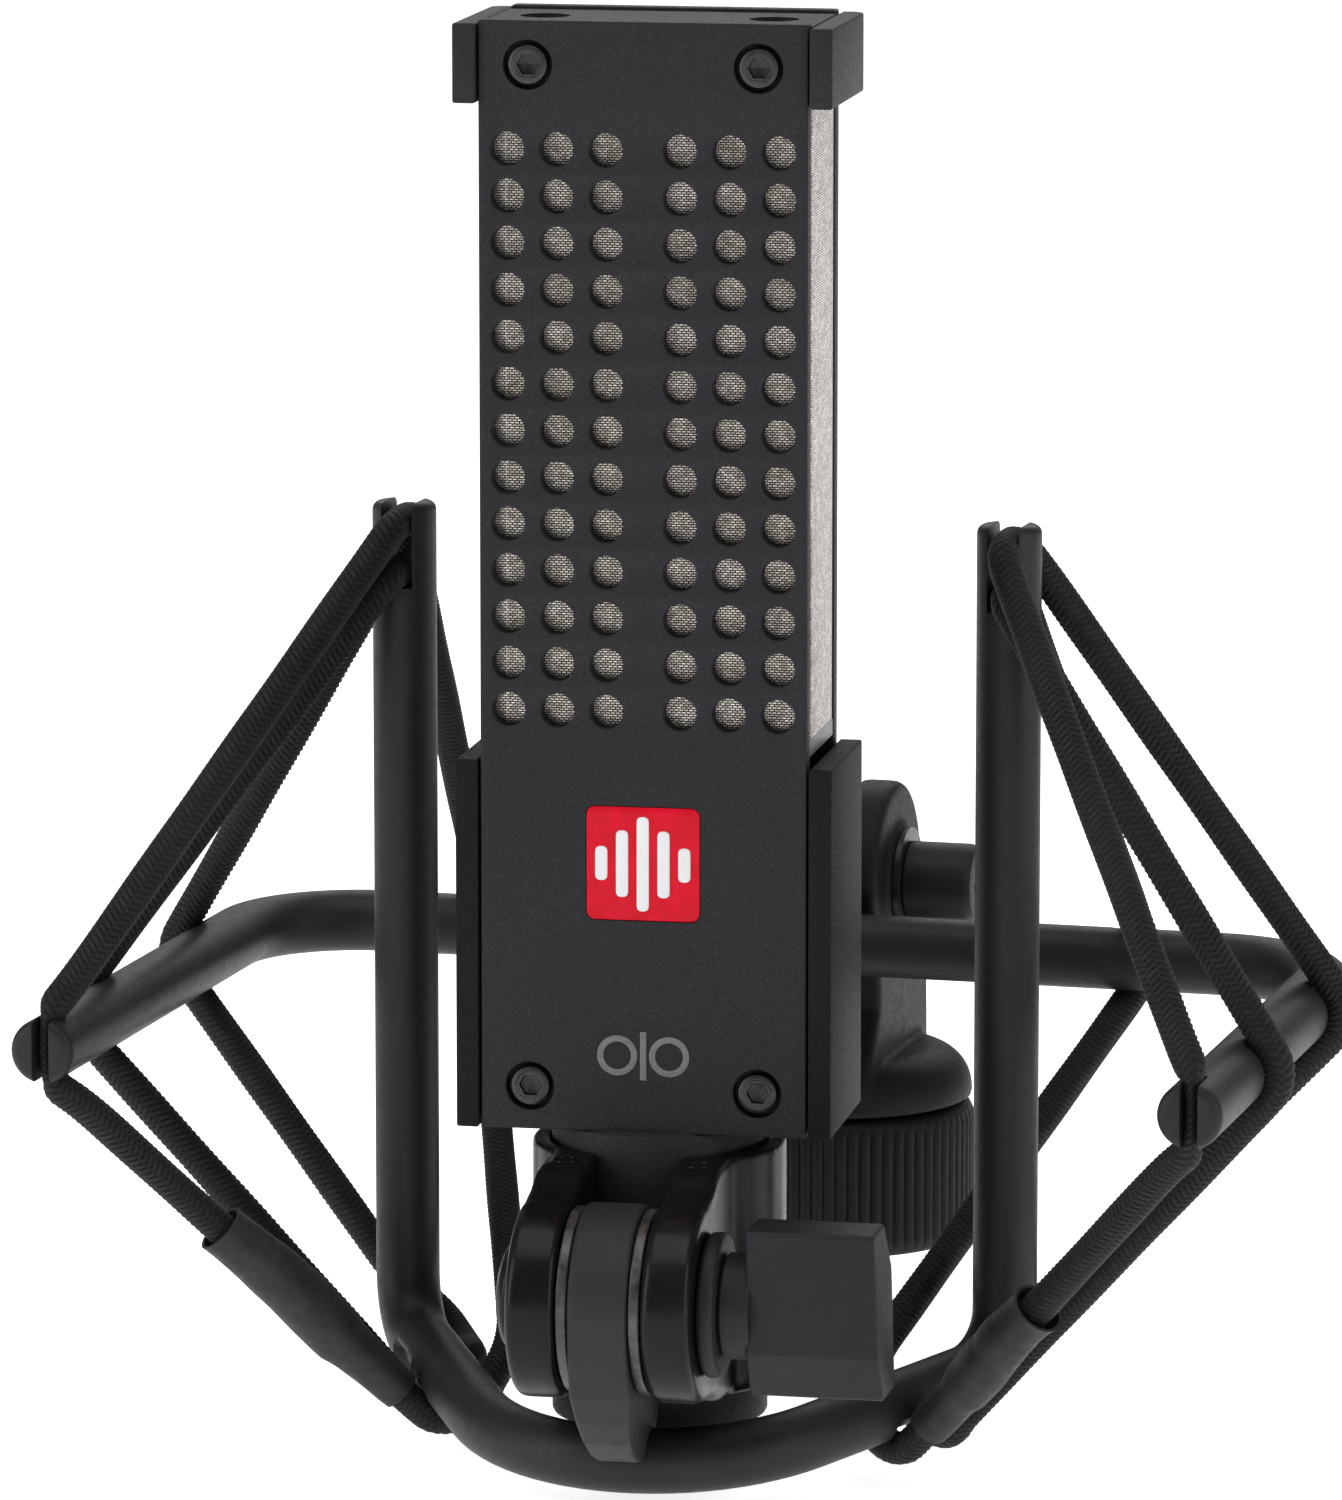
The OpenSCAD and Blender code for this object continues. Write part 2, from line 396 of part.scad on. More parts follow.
// ---------- stand fitting ----------
module swivel_base() color([0.12, 0.12, 0.13]) difference() {
  union() {
    rotate_extrude() polygon(concat([[0, nut_h + 0.3], [18.2, nut_h + 0.3]], [for (i = [0:6]) [12.7 + 5.5*cos(i*15), nut_h + 1.4 + 5.5*sin(i*15)]], [[0, nut_h + 6.9]]));
    translate([0, 0, 10.6]) cylinder(r = 6, h = nut_h - 9);
    along_x(-8.7, 8.7) { translate([0, swivel_z]) circle(r = 13); polygon([[-13, swivel_z], [-10.2, 40], [-10.2, 32], [-16.8, 21.5], [17.2, 21.5], [17, 27], [16.6, 33], [14.2, 41], [13, swivel_z]]); }
    at_swivel() xcyl(7.6, 8, 9.5);
    at_swivel() xcyl(7.6, -9.5, -8);
  }
  translate([-3.6, -30, 30.5]) cube([7.2, 60, 50]);
  at_swivel() xcyl(4.05, -20, 20);
}
module swivel_bolt() color([0.12, 0.12, 0.13]) at_swivel() difference() {
  union() {
    xcyl(4, -18, 11);
    translate([10.3, 0, 0]) rotate([0, 90, 0]) rotate_extrude() polygon([[0, 0], [5.2, 0], [5.2, 8.1], [4.2, 9.1], [0, 9.1]]);
  }
  translate([16.4, 0, 0]) rotate([0, 90, 0]) cylinder(r = 2.9, h = 5, $fn = 6);
}
module swivel_washers() color([0.5, 0.5, 0.52]) at_swivel() both() difference() { xcyl(7, 9.55, 10.25); xcyl(4.05, 8, 12); }
module swivel_knob() color([0.1, 0.1, 0.105]) at_swivel() mirror([1, 0, 0]) difference() {
  union() { xcyl(7.4, 10.35, 17); along_x(16.4, 31) polygon([for (p = wing2d) p*1.05]); }
  xcyl(5.4, 10, 22);
}
module swivel_knob_insert() color([0.75, 0.6, 0.3]) at_swivel() mirror([1, 0, 0]) difference() { xcyl(5.35, 10.45, 21.8); xcyl(4.06, 10, 20); }
module spigot_circlip() color([0.6, 0.6, 0.62]) translate([0, 0, 10.9]) difference() { cylinder(r = 7.6, h = 1); translate([0, 0, -1]) cylinder(r = 6.02, h = 3); translate([-1.5, 0, -1]) cube([3, 12, 3]); }
module stand_nut() color([0.11, 0.11, 0.12]) difference() {
  union() {
    translate([0, 0, 0.8]) linear_extrude(nut_h - 1.6) polygon([for (i = [0:143]) let(a = i*2.5, r = i%2 == 0 ? nut_r : nut_r - 0.55) [r*cos(a), r*sin(a)]]);
    rotate_extrude() polygon([[0, 0], [nut_r - 1.2, 0], [nut_r - 0.56, 0.64], [nut_r - 0.56, nut_h - 0.64], [nut_r - 1.2, nut_h], [0, nut_h]]);
  }
  translate([0, 0, -1]) cylinder(r = 7.94, h = 13);
  translate([0, 0, -1]) cylinder(r = 6.06, h = 30);
}
module thread_adapter() color([0.7, 0.68, 0.62]) difference() {
  cylinder(r = 7.9, h = 10);
  translate([0, 0, -1]) cylinder(r = thread_r, h = 20);
  translate([-9, -0.8, -1]) cube([18, 1.6, 2.2]);
}

front_plate();
rear_plate();
top_cap();
left_side_plate();
right_side_plate();
base_block();
shelf_plate();
mesh_screen();
badge();
pattern_inlay();
plate_screws();
cap_screws();
pole_frame();
magnets();
ribbon();
ribbon_clamps();
motor_screws();
transformer_core();
transformer_coil();
transformer_bracket();
bracket_screws();
connector_neck();
connector_insert();
connector_pins();
neck_nut();
clamp_ring();
tilt_bolt();
friction_washers();
knob_washer();
tilt_knob();
tilt_knob_insert();
inner_yoke();
centre_lug();
outer_yoke();
outer_lug();
elastic_left();
elastic_right();
splice_sleeve_left();
splice_sleeve_right();
swivel_base();
swivel_bolt();
swivel_washers();
swivel_knob();
swivel_knob_insert();
spigot_circlip();
stand_nut();
thread_adapter();
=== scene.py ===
import bpy, bmesh, math
import numpy as np
from mathutils import Vector, Matrix


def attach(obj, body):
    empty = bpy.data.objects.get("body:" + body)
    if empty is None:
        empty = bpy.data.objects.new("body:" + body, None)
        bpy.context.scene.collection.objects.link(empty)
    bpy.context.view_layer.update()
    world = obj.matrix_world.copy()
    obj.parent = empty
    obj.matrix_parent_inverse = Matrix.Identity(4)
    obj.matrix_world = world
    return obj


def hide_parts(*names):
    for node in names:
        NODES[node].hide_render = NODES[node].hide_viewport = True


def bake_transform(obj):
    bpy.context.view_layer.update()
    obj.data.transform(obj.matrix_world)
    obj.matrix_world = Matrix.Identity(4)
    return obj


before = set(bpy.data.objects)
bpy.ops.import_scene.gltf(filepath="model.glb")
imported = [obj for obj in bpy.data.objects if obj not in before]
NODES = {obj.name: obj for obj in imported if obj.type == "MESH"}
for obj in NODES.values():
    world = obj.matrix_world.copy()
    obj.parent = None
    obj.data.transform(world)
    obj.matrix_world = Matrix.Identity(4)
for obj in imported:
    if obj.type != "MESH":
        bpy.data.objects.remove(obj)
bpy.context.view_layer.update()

MM = 0.001
rad = math.radians


def T(x, y, z):
    return Matrix.Translation((x, y, z))


def R(a, axis):
    return Matrix.Rotation(rad(a), 4, axis)


CLAMP = T(0, -86, 33.3) @ R(4, "Z")
MIC = T(0, -86, 33.3) @ R(5, "Z")
PIVOT = CLAMP @ T(0, -27, -17.2)
SWIVEL = T(0, 0, 47.5)
MIRROR = Matrix.Diagonal((-1, 1, 1, 1))
ALONG_X = Matrix(((0, 0, 1, 0), (1, 0, 0, 0), (0, 1, 0, 0), (0, 0, 0, 1)))   # flat (u, v, w) -> (w, u, v)
FACE_Y = Matrix(((1, 0, 0, 0), (0, 0, -1, 0), (0, 1, 0, 0), (0, 0, 0, 1)))   # flat (u, v, w) -> (u, -w, v)
BOW = T(0, -104.8, -5.7) @ R(7.8, "X")
BOW_R, BOW_A, TILT = 25.0, 58.0, 7.8
POST_X, POST_TOP, ARM_X, ARM_BEND, BAR_Y, BAR_Z, TIP_Y = 38.7, 105.0, 71.5, 16.0, -17.5, 42.0, -111.0
SA, CA, ST, CT = math.sin(rad(BOW_A)), math.cos(rad(BOW_A)), math.sin(rad(TILT)), math.cos(rad(TILT))
BOW_L = (POST_X - BOW_R * SA) / CA
BOW_D = BOW_R * (1 - CA) + BOW_L * SA
FOOT_Y, FOOT_Z = -104.8 + BOW_D * CT, -5.7 + BOW_D * ST

# ---------------------------------------------------------------- camera, floor, light
scene = bpy.context.scene
cam_data = bpy.data.cameras.new("view")
cam = bpy.data.objects.new("view", cam_data)
scene.collection.objects.link(cam)
AZ, EL, DIST = 15.4, 9.75, 1.120
TARGET = Vector((1.375, -85.88, 78.63)) * MM
back = Vector((math.sin(rad(AZ)) * math.cos(rad(EL)), -math.cos(rad(AZ)) * math.cos(rad(EL)), math.sin(rad(EL))))
cam.location = TARGET + back * DIST
cam.rotation_mode = "QUATERNION"
cam.rotation_quaternion = (-back).to_track_quat("-Z", "Y")
cam_data.sensor_width = 36.0
cam_data.lens = 9200.0 * 36.0 / 1500.0
cam_data.clip_start, cam_data.clip_end = 0.05, 60.0
scene.camera = cam
scene.view_settings.view_transform = "Standard"


def area(name, loc, aim, size, size_y, power, colour=(1, 1, 1)):
    d = bpy.data.lights.new(name, "AREA")
    d.shape = "RECTANGLE"
    d.size, d.size_y, d.energy, d.color = size, size_y, power, colour
    o = bpy.data.objects.new(name, d)
    scene.collection.objects.link(o)
    o.location = loc
    v = Vector(aim) - Vector(loc)
    o.rotation_mode = "QUATERNION"
    o.rotation_quaternion = v.to_track_quat("-Z", "Y")
    return o


AIM = (0, -0.08, 0.07)
area("soft_left", (-0.95, -0.85, 0.45), AIM, 0.45, 1.1, 6.0)
area("soft_right", (1.05, -0.45, 0.40), AIM, 0.40, 1.1, 3.6)
area("soft_top", (0.0, -0.35, 1.25), AIM, 1.2, 0.9, 6.0)
area("soft_back", (-0.2, 1.15, 0.9), AIM, 1.4, 0.7, 6.0)

world = bpy.data.worlds.new("studio")
scene.world = world
world.use_nodes = True
wn = world.node_tree.nodes
wl = world.node_tree.links
wn.clear()
w_out = wn.new("ShaderNodeOutputWorld")
w_bg = wn.new("ShaderNodeBackground")
w_bg.inputs["Color"].default_value = (1.0, 1.0, 1.0, 1)
w_bg.inputs["Strength"].default_value = 0.30
wl.new(w_bg.outputs[0], w_out.inputs[0])


# ---------------------------------------------------------------- materials
class Graph:
    """A Principled material with its texture nodes in the piece's own coordinates, in millimetres."""

    def __init__(self, name, base, rough, metallic=0.0, spec=0.5, coat=0.0, coat_rough=0.1, sheen=0.0):
        self.m = bpy.data.materials.new(name)
        self.m.use_nodes = True
        self.t = self.m.node_tree
        self.n, self.l = self.t.nodes, self.t.links
        self.bsdf = self.n["Principled BSDF"]
        b = self.bsdf.inputs
        b["Base Color"].default_value = (*base, 1)
        b["Roughness"].default_value = rough
        b["Metallic"].default_value = metallic
        b["Specular IOR Level"].default_value = spec
        b["Coat Weight"].default_value = coat
        b["Coat Roughness"].default_value = coat_rough
        b["Sheen Weight"].default_value = sheen
        self.tc = self.n.new("ShaderNodeTexCoord")
        self.m.diffuse_color = (*base, 1)
        self.height = []

    def coords(self, uv=False, scale=(1000, 1000, 1000), rot=(0, 0, 0)):
        mp = self.n.new("ShaderNodeMapping")
        mp.inputs["Scale"].default_value = (1, 1, 1) if uv and scale == (1000, 1000, 1000) else scale
        mp.inputs["Rotation"].default_value = rot
        self.l.new(self.tc.outputs["UV" if uv else "Object"], mp.inputs["Vector"])
        return mp.outputs[0]

    def noise(self, period_mm, detail=2.0, rough=0.5, vec=None, distortion=0.0):
        n = self.n.new("ShaderNodeTexNoise")
        n.inputs["Scale"].default_value = 1.0 / period_mm
        n.inputs["Detail"].default_value = detail
        n.inputs["Roughness"].default_value = rough
        n.inputs["Distortion"].default_value = distortion
        self.l.new(vec or self.coords(), n.inputs["Vector"])
        return n.outputs["Fac"]

    def ramp(self, fac, stops):
        r = self.n.new("ShaderNodeValToRGB")
        r.color_ramp.elements[0].position, r.color_ramp.elements[0].color = stops[0][0], (*stops[0][1], 1)
        r.color_ramp.elements[1].position, r.color_ramp.elements[1].color = stops[1][0], (*stops[1][1], 1)
        for p, c in stops[2:]:
            e = r.color_ramp.elements.new(p)
            e.color = (*c, 1)
        self.l.new(fac, r.inputs[0])
        return r.outputs["Color"]

    def map(self, fac, lo, hi, a=0.0, b=1.0):
        r = self.n.new("ShaderNodeMapRange")
        r.inputs["From Min"].default_value, r.inputs["From Max"].default_value = a, b
        r.inputs["To Min"].default_value, r.inputs["To Max"].default_value = lo, hi
        self.l.new(fac, r.inputs["Value"])
        return r.outputs[0]

    def mix(self, fac, a, b, kind="MIX"):
        x = self.n.new("ShaderNodeMix")
        x.data_type = "RGBA"
        x.blend_type = kind
        for sock, val in ((x.inputs[0], fac), (x.inputs[6], a), (x.inputs[7], b)):
            if isinstance(val, (int, float)):
                sock.default_value = val
            elif isinstance(val, tuple):
                sock.default_value = (*val, 1)
            else:
                self.l.new(val, sock)
        return x.outputs[2]

    def math(self, op, a, b=0.0):
        x = self.n.new("ShaderNodeMath")
        x.operation = op
        for sock, val in ((x.inputs[0], a), (x.inputs[1], b)):
            if isinstance(val, (int, float)):
                sock.default_value = val
            else:
                self.l.new(val, sock)
        return x.outputs[0]

    def attr(self, name):
        a = self.n.new("ShaderNodeAttribute")
        a.attribute_name = name
        return a.outputs["Fac"]

    def colour(self, sock):
        self.l.new(sock, self.bsdf.inputs["Base Color"])

    def rough(self, sock):
        self.l.new(sock, self.bsdf.inputs["Roughness"])

    def bump(self, sock, depth_mm, strength=1.0):
        b = self.n.new("ShaderNodeBump")
        b.inputs["Distance"].default_value = depth_mm * MM
        b.inputs["Strength"].default_value = strength
        self.l.new(sock, b.inputs["Height"])
        if self.height:
            self.l.new(self.height[-1], b.inputs["Normal"])
        self.height.append(b.outputs[0])
        self.l.new(b.outputs[0], self.bsdf.inputs["Normal"])


def speckled(name, dark, light, fleck, grain=0.28, rough=(0.5, 0.68), bump=0.03, spec=0.4, fleck_at=0.66, **kw):
    """Powder coat: fine grain, a few lighter flecks and a slow change in tone."""
    g = Graph(name, dark, sum(rough) / 2, spec=spec, **kw)
    fine = g.noise(grain, 3.0, 0.62)
    slow = g.noise(22.0, 2.0, 0.5)
    base = g.ramp(fine, [(0.34, dark), (0.58, light)])
    specks = g.ramp(g.noise(grain * 0.9, 2.0, 0.5), [(fleck_at, (0, 0, 0)), (fleck_at + 0.09, (0.8, 0.8, 0.8))])
    base = g.mix(specks, base, fleck)
    g.colour(g.mix(g.map(slow, 0.0, 0.22, 0.3, 0.7), base, tuple(c * 0.72 for c in light)))
    g.rough(g.map(g.noise(grain * 1.7, 2.0), rough[0], rough[1], 0.3, 0.7))
    g.bump(fine, bump)
    return g.m


def satin(name, a, b, rough=(0.36, 0.5), grain=0.5, bump=0.006, slow_mm=30.0, spec=0.45, metallic=0.0, **kw):
    g = Graph(name, a, sum(rough) / 2, metallic=metallic, spec=spec, **kw)
    g.colour(g.mix(g.map(g.noise(slow_mm, 3.0), 0.0, 1.0, 0.35, 0.65), a, b))
    g.rough(g.map(g.noise(grain * 3, 3.0), rough[0], rough[1], 0.3, 0.7))
    g.bump(g.noise(grain, 3.0, 0.6), bump)
    return g.m


def machined(name, a, b, rough=(0.22, 0.4), stretch=(60, 1000, 1000), metallic=1.0, spec=0.5):
    g = Graph(name, a, sum(rough) / 2, metallic=metallic, spec=spec)
    lines = g.noise(0.6, 4.0, 0.6, g.coords(scale=stretch))
    g.colour(g.mix(g.map(lines, 0.0, 1.0, 0.3, 0.7), a, b))
    g.rough(g.map(lines, rough[0], rough[1], 0.3, 0.7))
    g.bump(lines, 0.006)
    return g.m


M = {}
M["body"] = speckled("body_powder_coat", (0.0070, 0.0068, 0.0090), (0.0150, 0.0146, 0.0182), (0.056, 0.055, 0.062), spec=0.25)
M["side"] = speckled("side_powder_coat", (0.0050, 0.0046, 0.0050), (0.0105, 0.0098, 0.0102), (0.040, 0.037, 0.037), grain=0.2, spec=0.10)
M["neck"] = speckled("neck_coat", (0.0075, 0.0075, 0.0085), (0.0165, 0.0165, 0.018), (0.05, 0.05, 0.053), grain=0.3, bump=0.045, spec=0.25)
M["rod"] = satin("rod_satin_black", (0.0100, 0.0097, 0.0124), (0.0150, 0.0146, 0.0182), rough=(0.44, 0.54), grain=0.35, bump=0.007, spec=0.27)
M["lug"] = satin("lug_black", (0.0140, 0.0137, 0.0165), (0.0215, 0.0210, 0.0245), rough=(0.50, 0.62), grain=0.45, bump=0.012, spec=0.28)
M["gloss"] = satin("gloss_black_paint", (0.0030, 0.0029, 0.0034), (0.0055, 0.0053, 0.0060), rough=(0.24, 0.36), grain=1.6, bump=0.03, spec=0.16, coat=0.05, coat_rough=0.14)
M["knob"] = satin("moulded_black", (0.0112, 0.0108, 0.0140), (0.0156, 0.0151, 0.0190), rough=(0.46, 0.58), grain=0.28, bump=0.010, spec=0.22)
M["stand"] = satin("stand_moulded_black", (0.0048, 0.0046, 0.0062), (0.0080, 0.0077, 0.0100), rough=(0.5, 0.62), grain=0.30, bump=0.012, spec=0.17)

g = Graph("black_oxide", (0.010, 0.010, 0.0105), 0.36, spec=0.5)
tone = g.mix(g.map(g.noise(3.0, 3.0), 0.0, 1.0, 0.35, 0.65), (0.007, 0.007, 0.0075), (0.0165, 0.0165, 0.0175))
# painted shade: the hex socket recess is coloured near-black
g.colour(g.mix(g.attr("painted_socket_shade"), tone, (0.0012, 0.0012, 0.0014)))
g.rough(g.map(g.noise(0.7, 3.0), 0.30, 0.44, 0.3, 0.7))
g.bump(g.noise(0.25, 3.0, 0.6), 0.008)
M["dark_metal"] = g.m
M["alloy"] = machined("black_anodised", (0.05, 0.05, 0.052), (0.09, 0.09, 0.092), (0.3, 0.45), metallic=0.7)
M["steel"] = machined("zinc_plate", (0.42, 0.42, 0.43), (0.6, 0.6, 0.61))
M["iron"] = machined("iron", (0.22, 0.22, 0.225), (0.34, 0.335, 0.33), (0.35, 0.55))
M["lamination"] = machined("lamination_iron", (0.12, 0.12, 0.125), (0.32, 0.32, 0.33), (0.35, 0.55), stretch=(60, 2200, 60))
M["nickel"] = machined("nickel_plate", (0.5, 0.48, 0.44), (0.66, 0.64, 0.6), (0.14, 0.26))
M["foil"] = machined("foil", (0.78, 0.78, 0.8), (0.9, 0.9, 0.91), (0.12, 0.22))
M["brass"] = machined("brass", (0.55, 0.38, 0.13), (0.72, 0.52, 0.2), (0.2, 0.36))
M["gold"] = machined("gold_plate", (0.72, 0.5, 0.18), (0.86, 0.63, 0.26), (0.1, 0.2))
M["copper"] = machined("lacquered_winding", (0.32, 0.1, 0.03), (0.48, 0.17, 0.06), (0.25, 0.4), stretch=(200, 200, 3500), metallic=0.8)
M["insulator"] = satin("insulator", (0.010, 0.010, 0.010), (0.017, 0.017, 0.017), rough=(0.4, 0.55))

g = Graph("grey_rubber", (0.04, 0.037, 0.034), 0.3, spec=0.5, coat=0.2, coat_rough=0.25)
g.colour(g.mix(g.map(g.noise(2.4, 4.0, 0.65), 0.0, 1.0, 0.36, 0.66), (0.012, 0.011, 0.0105), (0.060, 0.055, 0.050)))
g.rough(g.map(g.noise(0.8, 3.0), 0.22, 0.46, 0.3, 0.7))
g.bump(g.noise(0.5, 4.0, 0.65), 0.05)
M["rubber"] = g.m

# heat-shrunk sleeve: matte, dusty, brownish, with wrinkles across it
g = Graph("sleeve_rubber", (0.017, 0.0145, 0.0145), 0.6, spec=0.34, sheen=0.03)
cloud = g.noise(4.5, 4.0, 0.6)
dust = g.ramp(g.noise(0.35, 3.0, 0.7), [(0.60, (0, 0, 0)), (0.74, (0.35, 0.35, 0.35))])
g.colour(g.mix(dust, g.mix(g.map(cloud, 0.0, 1.0, 0.35, 0.68), (0.0105, 0.0088, 0.0090), (0.0220, 0.0188, 0.0186)), (0.040, 0.035, 0.034)))
g.rough(g.map(g.noise(1.2, 3.0), 0.5, 0.72, 0.3, 0.7))
g.bump(g.noise(1.1, 4.0, 0.6), 0.07)
g.bump(g.noise(0.25, 2.0, 0.5), 0.02)
M["sleeve"] = g.m

# braided cover: the yarns are in the mesh, with their height kept as an attribute; the low gaps between yarns are
# painted near-black as shade
g = Graph("braided_cord", (0.008, 0.007, 0.0075), 0.72, spec=0.22, sheen=0.03)
h = g.attr("yarn")
tone = g.attr("tone")
top = g.mix(tone, (0.0085, 0.0066, 0.0080), (0.0185, 0.0135, 0.0150))
fuzz = g.noise(0.16, 2.0, 0.6)
top = g.mix(g.map(fuzz, 0.0, 0.5, 0.45, 0.7), top, (0.026, 0.021, 0.0215))
# painted shade: colour goes to near-black where the yarn height is low, in the gaps between yarns
g.colour(g.mix(g.map(h, 0.0, 1.0, 0.25, 0.85), (0.0012, 0.0009, 0.0011), top))
g.rough(g.map(h, 0.86, 0.62, 0.2, 0.9))
g.bump(fuzz, 0.03)
M["cord"] = g.m

# woven wire: bright dashes in a brick layout with dark gaps, in UV millimetres
g = Graph("woven_wire", (0.5, 0.46, 0.4), 0.34, metallic=0.85, spec=0.5)
uv = g.coords(uv=True)
br = g.n.new("ShaderNodeTexBrick")
br.offset, br.offset_frequency, br.squash = 0.5, 2, 1.0
br.inputs["Color1"].default_value = (1, 1, 1, 1)
br.inputs["Color2"].default_value = (0.42, 0.42, 0.42, 1)
br.inputs["Mortar"].default_value = (0, 0, 0, 1)
br.inputs["Scale"].default_value = 1.0
br.inputs["Mortar Size"].default_value = 0.075
br.inputs["Mortar Smooth"].default_value = 0.9
br.inputs["Bias"].default_value = 0.0
br.inputs["Brick Width"].default_value = 0.60
br.inputs["Row Height"].default_value = 0.30
g.l.new(uv, br.inputs["Vector"])
warp = g.noise(2.2, 2.0, 0.5)
lit = g.mix(g.map(warp, 0.0, 1.0, 0.35, 0.65), (0.66, 0.60, 0.53), (0.92, 0.87, 0.80))
lit = g.mix(br.outputs["Color"], (0.018, 0.014, 0.012), lit)
seam = g.attr("seam")
g.colour(g.mix(g.math("MULTIPLY", seam, 0.45), lit, (0.95, 0.92, 0.86)))
g.bump(br.outputs["Color"], 0.07)
M["wire"] = g.m

g = Graph("enamel_red", (0.5, 0.004, 0.016), 0.3, spec=0.12)
g.colour(g.mix(g.map(g.noise(3.0, 2.0), 0.0, 1.0, 0.3, 0.7), (0.50, 0.0025, 0.014), (0.62, 0.004, 0.021)))
g.rough(g.map(g.noise(1.0, 2.0), 0.16, 0.26, 0.3, 0.7))
g.bump(g.noise(1.5, 2.0), 0.01)
M["red"] = g.m
M["white"] = satin("enamel_white", (0.62, 0.62, 0.635), (0.70, 0.70, 0.715), rough=(0.2, 0.32), grain=1.0, bump=0.008, spec=0.2)
M["mark"] = speckled("mark_grey", (0.115, 0.12, 0.125), (0.16, 0.165, 0.17), (0.22, 0.22, 0.225), grain=0.3, bump=0.02, spec=0.25)

g = Graph("pale_floor", (0.93, 0.93, 0.93), 0.75, spec=0.2)
g.colour(g.mix(g.map(g.noise(180.0, 2.0), 0.0, 1.0, 0.3, 0.7), (0.925, 0.925, 0.928), (0.94, 0.94, 0.94)))
g.bsdf.inputs["Emission Color"].default_value = (1, 1, 1, 1)
g.bsdf.inputs["Emission Strength"].default_value = 0.80
M["floor"] = g.m

fm = bpy.data.meshes.new("floor")
fm.from_pydata([(-12, -12, -0.0125), (12, -12, -0.0125), (12, 12, -0.0125), (-12, 12, -0.0125)], [], [(0, 1, 2, 3)])
floor = bpy.data.objects.new("floor", fm)
scene.collection.objects.link(floor)
fm.materials.append(M["floor"])


# ---------------------------------------------------------------- mesh helpers (all in millimetres until finished)
def finish_mesh(me, angle=32):
    me.polygons.foreach_set("use_smooth", [True] * len(me.polygons))
    me.set_sharp_from_angle(angle=rad(angle))
    me.update()


def new_mesh(name, verts, faces, uv=None, attrs=None):
    me = bpy.data.meshes.new(name)
    me.from_pydata([tuple(v) for v in verts], [], faces)
    if uv is not None:
        layer = me.uv_layers.new(name="UVMap")
        flat = np.array([c for f in uv for p in f for c in p], np.float32)
        layer.data.foreach_set("uv", flat)
    for key, vals in (attrs or {}).items():
        a = me.attributes.new(key, "FLOAT", "POINT")
        a.data.foreach_set("value", np.asarray(vals, np.float32))
    return me


def put(name, me, matrix, material, body=None, replaces=(), angle=32, recalc=True):
    """Places a millimetre mesh in the row frame and ties it to its body."""
    me.transform(Matrix.Scale(MM, 4) @ matrix)
    if matrix.determinant() < 0:
        me.flip_normals()
    if recalc:
        bm = bmesh.new()
        bm.from_mesh(me)
        bmesh.ops.recalc_face_normals(bm, faces=bm.faces)
        bm.to_mesh(me)
        bm.free()
    finish_mesh(me, angle)
    me.materials.clear()
    me.materials.append(material)
    o = bpy.data.objects.new(name, me)
    scene.collection.objects.link(o)
    if body:
        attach(o, body)
    if replaces:
        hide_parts(*replaces)
    return o


def join(meshes):
    """One mesh from several (mesh, matrix) pairs."""
    bm = bmesh.new()
    for me, mat in meshes:
        me.transform(mat)
        if mat.determinant() < 0:
            me.flip_normals()
        bm.from_mesh(me)
        bpy.data.meshes.remove(me)
    out = bpy.data.meshes.new("joined")
    bm.to_mesh(out)
    bm.free()
    return out


def circle(r, n=40, cx=0.0, cy=0.0):
    return [(cx + r * math.cos(2 * math.pi * i / n), cy + r * math.sin(2 * math.pi * i / n)) for i in range(n)]


def fillet(points, radii, seg=5):
    """A polygon with its corners rounded; radii is one number or one for each corner."""
    n = len(points)
    if isinstance(radii, (int, float)):
        radii = [radii] * n
    out = []
    for i in range(n):
        p, a, b = np.array(points[i], float), np.array(points[i - 1], float), np.array(points[(i + 1) % n], float)
        r = radii[i]
        u, v = a - p, b - p
        lu, lv = np.linalg.norm(u), np.linalg.norm(v)
        if r <= 0 or lu < 1e-9 or lv < 1e-9:
            out.append(tuple(p))
            continue
        u, v = u / lu, v / lv
        ang = math.acos(max(-1, min(1, float(u @ v))))
        if ang > math.pi - 0.02:
            out.append(tuple(p))
            continue
        d = min(r / math.tan(ang / 2), 0.48 * lu, 0.48 * lv)
        s, e = p + u * d, p + v * d
        for k in range(seg + 1):
            t = k / seg
            out.append(tuple((1 - t) ** 2 * s + 2 * t * (1 - t) * (p * 0.35 + 0.65 * p) + t * t * e))
    return out


def flat(outline, holes=(), t=1.0, bevel=0.3, res=2):
    """A plate of thickness t, centred on w = 0, with every edge rounded, holes too."""
    cu = bpy.data.curves.new("flat", "CURVE")
    cu.dimensions, cu.fill_mode = "2D", "BOTH"
    for pts in [outline] + list(holes):
        sp = cu.splines.new("POLY")
        sp.points.add(len(pts) - 1)
        for i, (x, y) in enumerate(pts):
            sp.points[i].co = (x, y, 0, 1)
        sp.use_cyclic_u = True
    cu.extrude, cu.bevel_depth, cu.bevel_resolution, cu.offset = t / 2 - bevel, bevel, res, -bevel
    o = bpy.data.objects.new("flat", cu)
    scene.collection.objects.link(o)
    dg = bpy.context.evaluated_depsgraph_get()
    me = bpy.data.meshes.new_from_object(o.evaluated_get(dg))
    bpy.data.objects.remove(o)
    bpy.data.curves.remove(cu)
    bm = bmesh.new()
    bm.from_mesh(me)
    bmesh.ops.remove_doubles(bm, verts=bm.verts, dist=1e-4)
    bm.to_mesh(me)
    bm.free()
    return me


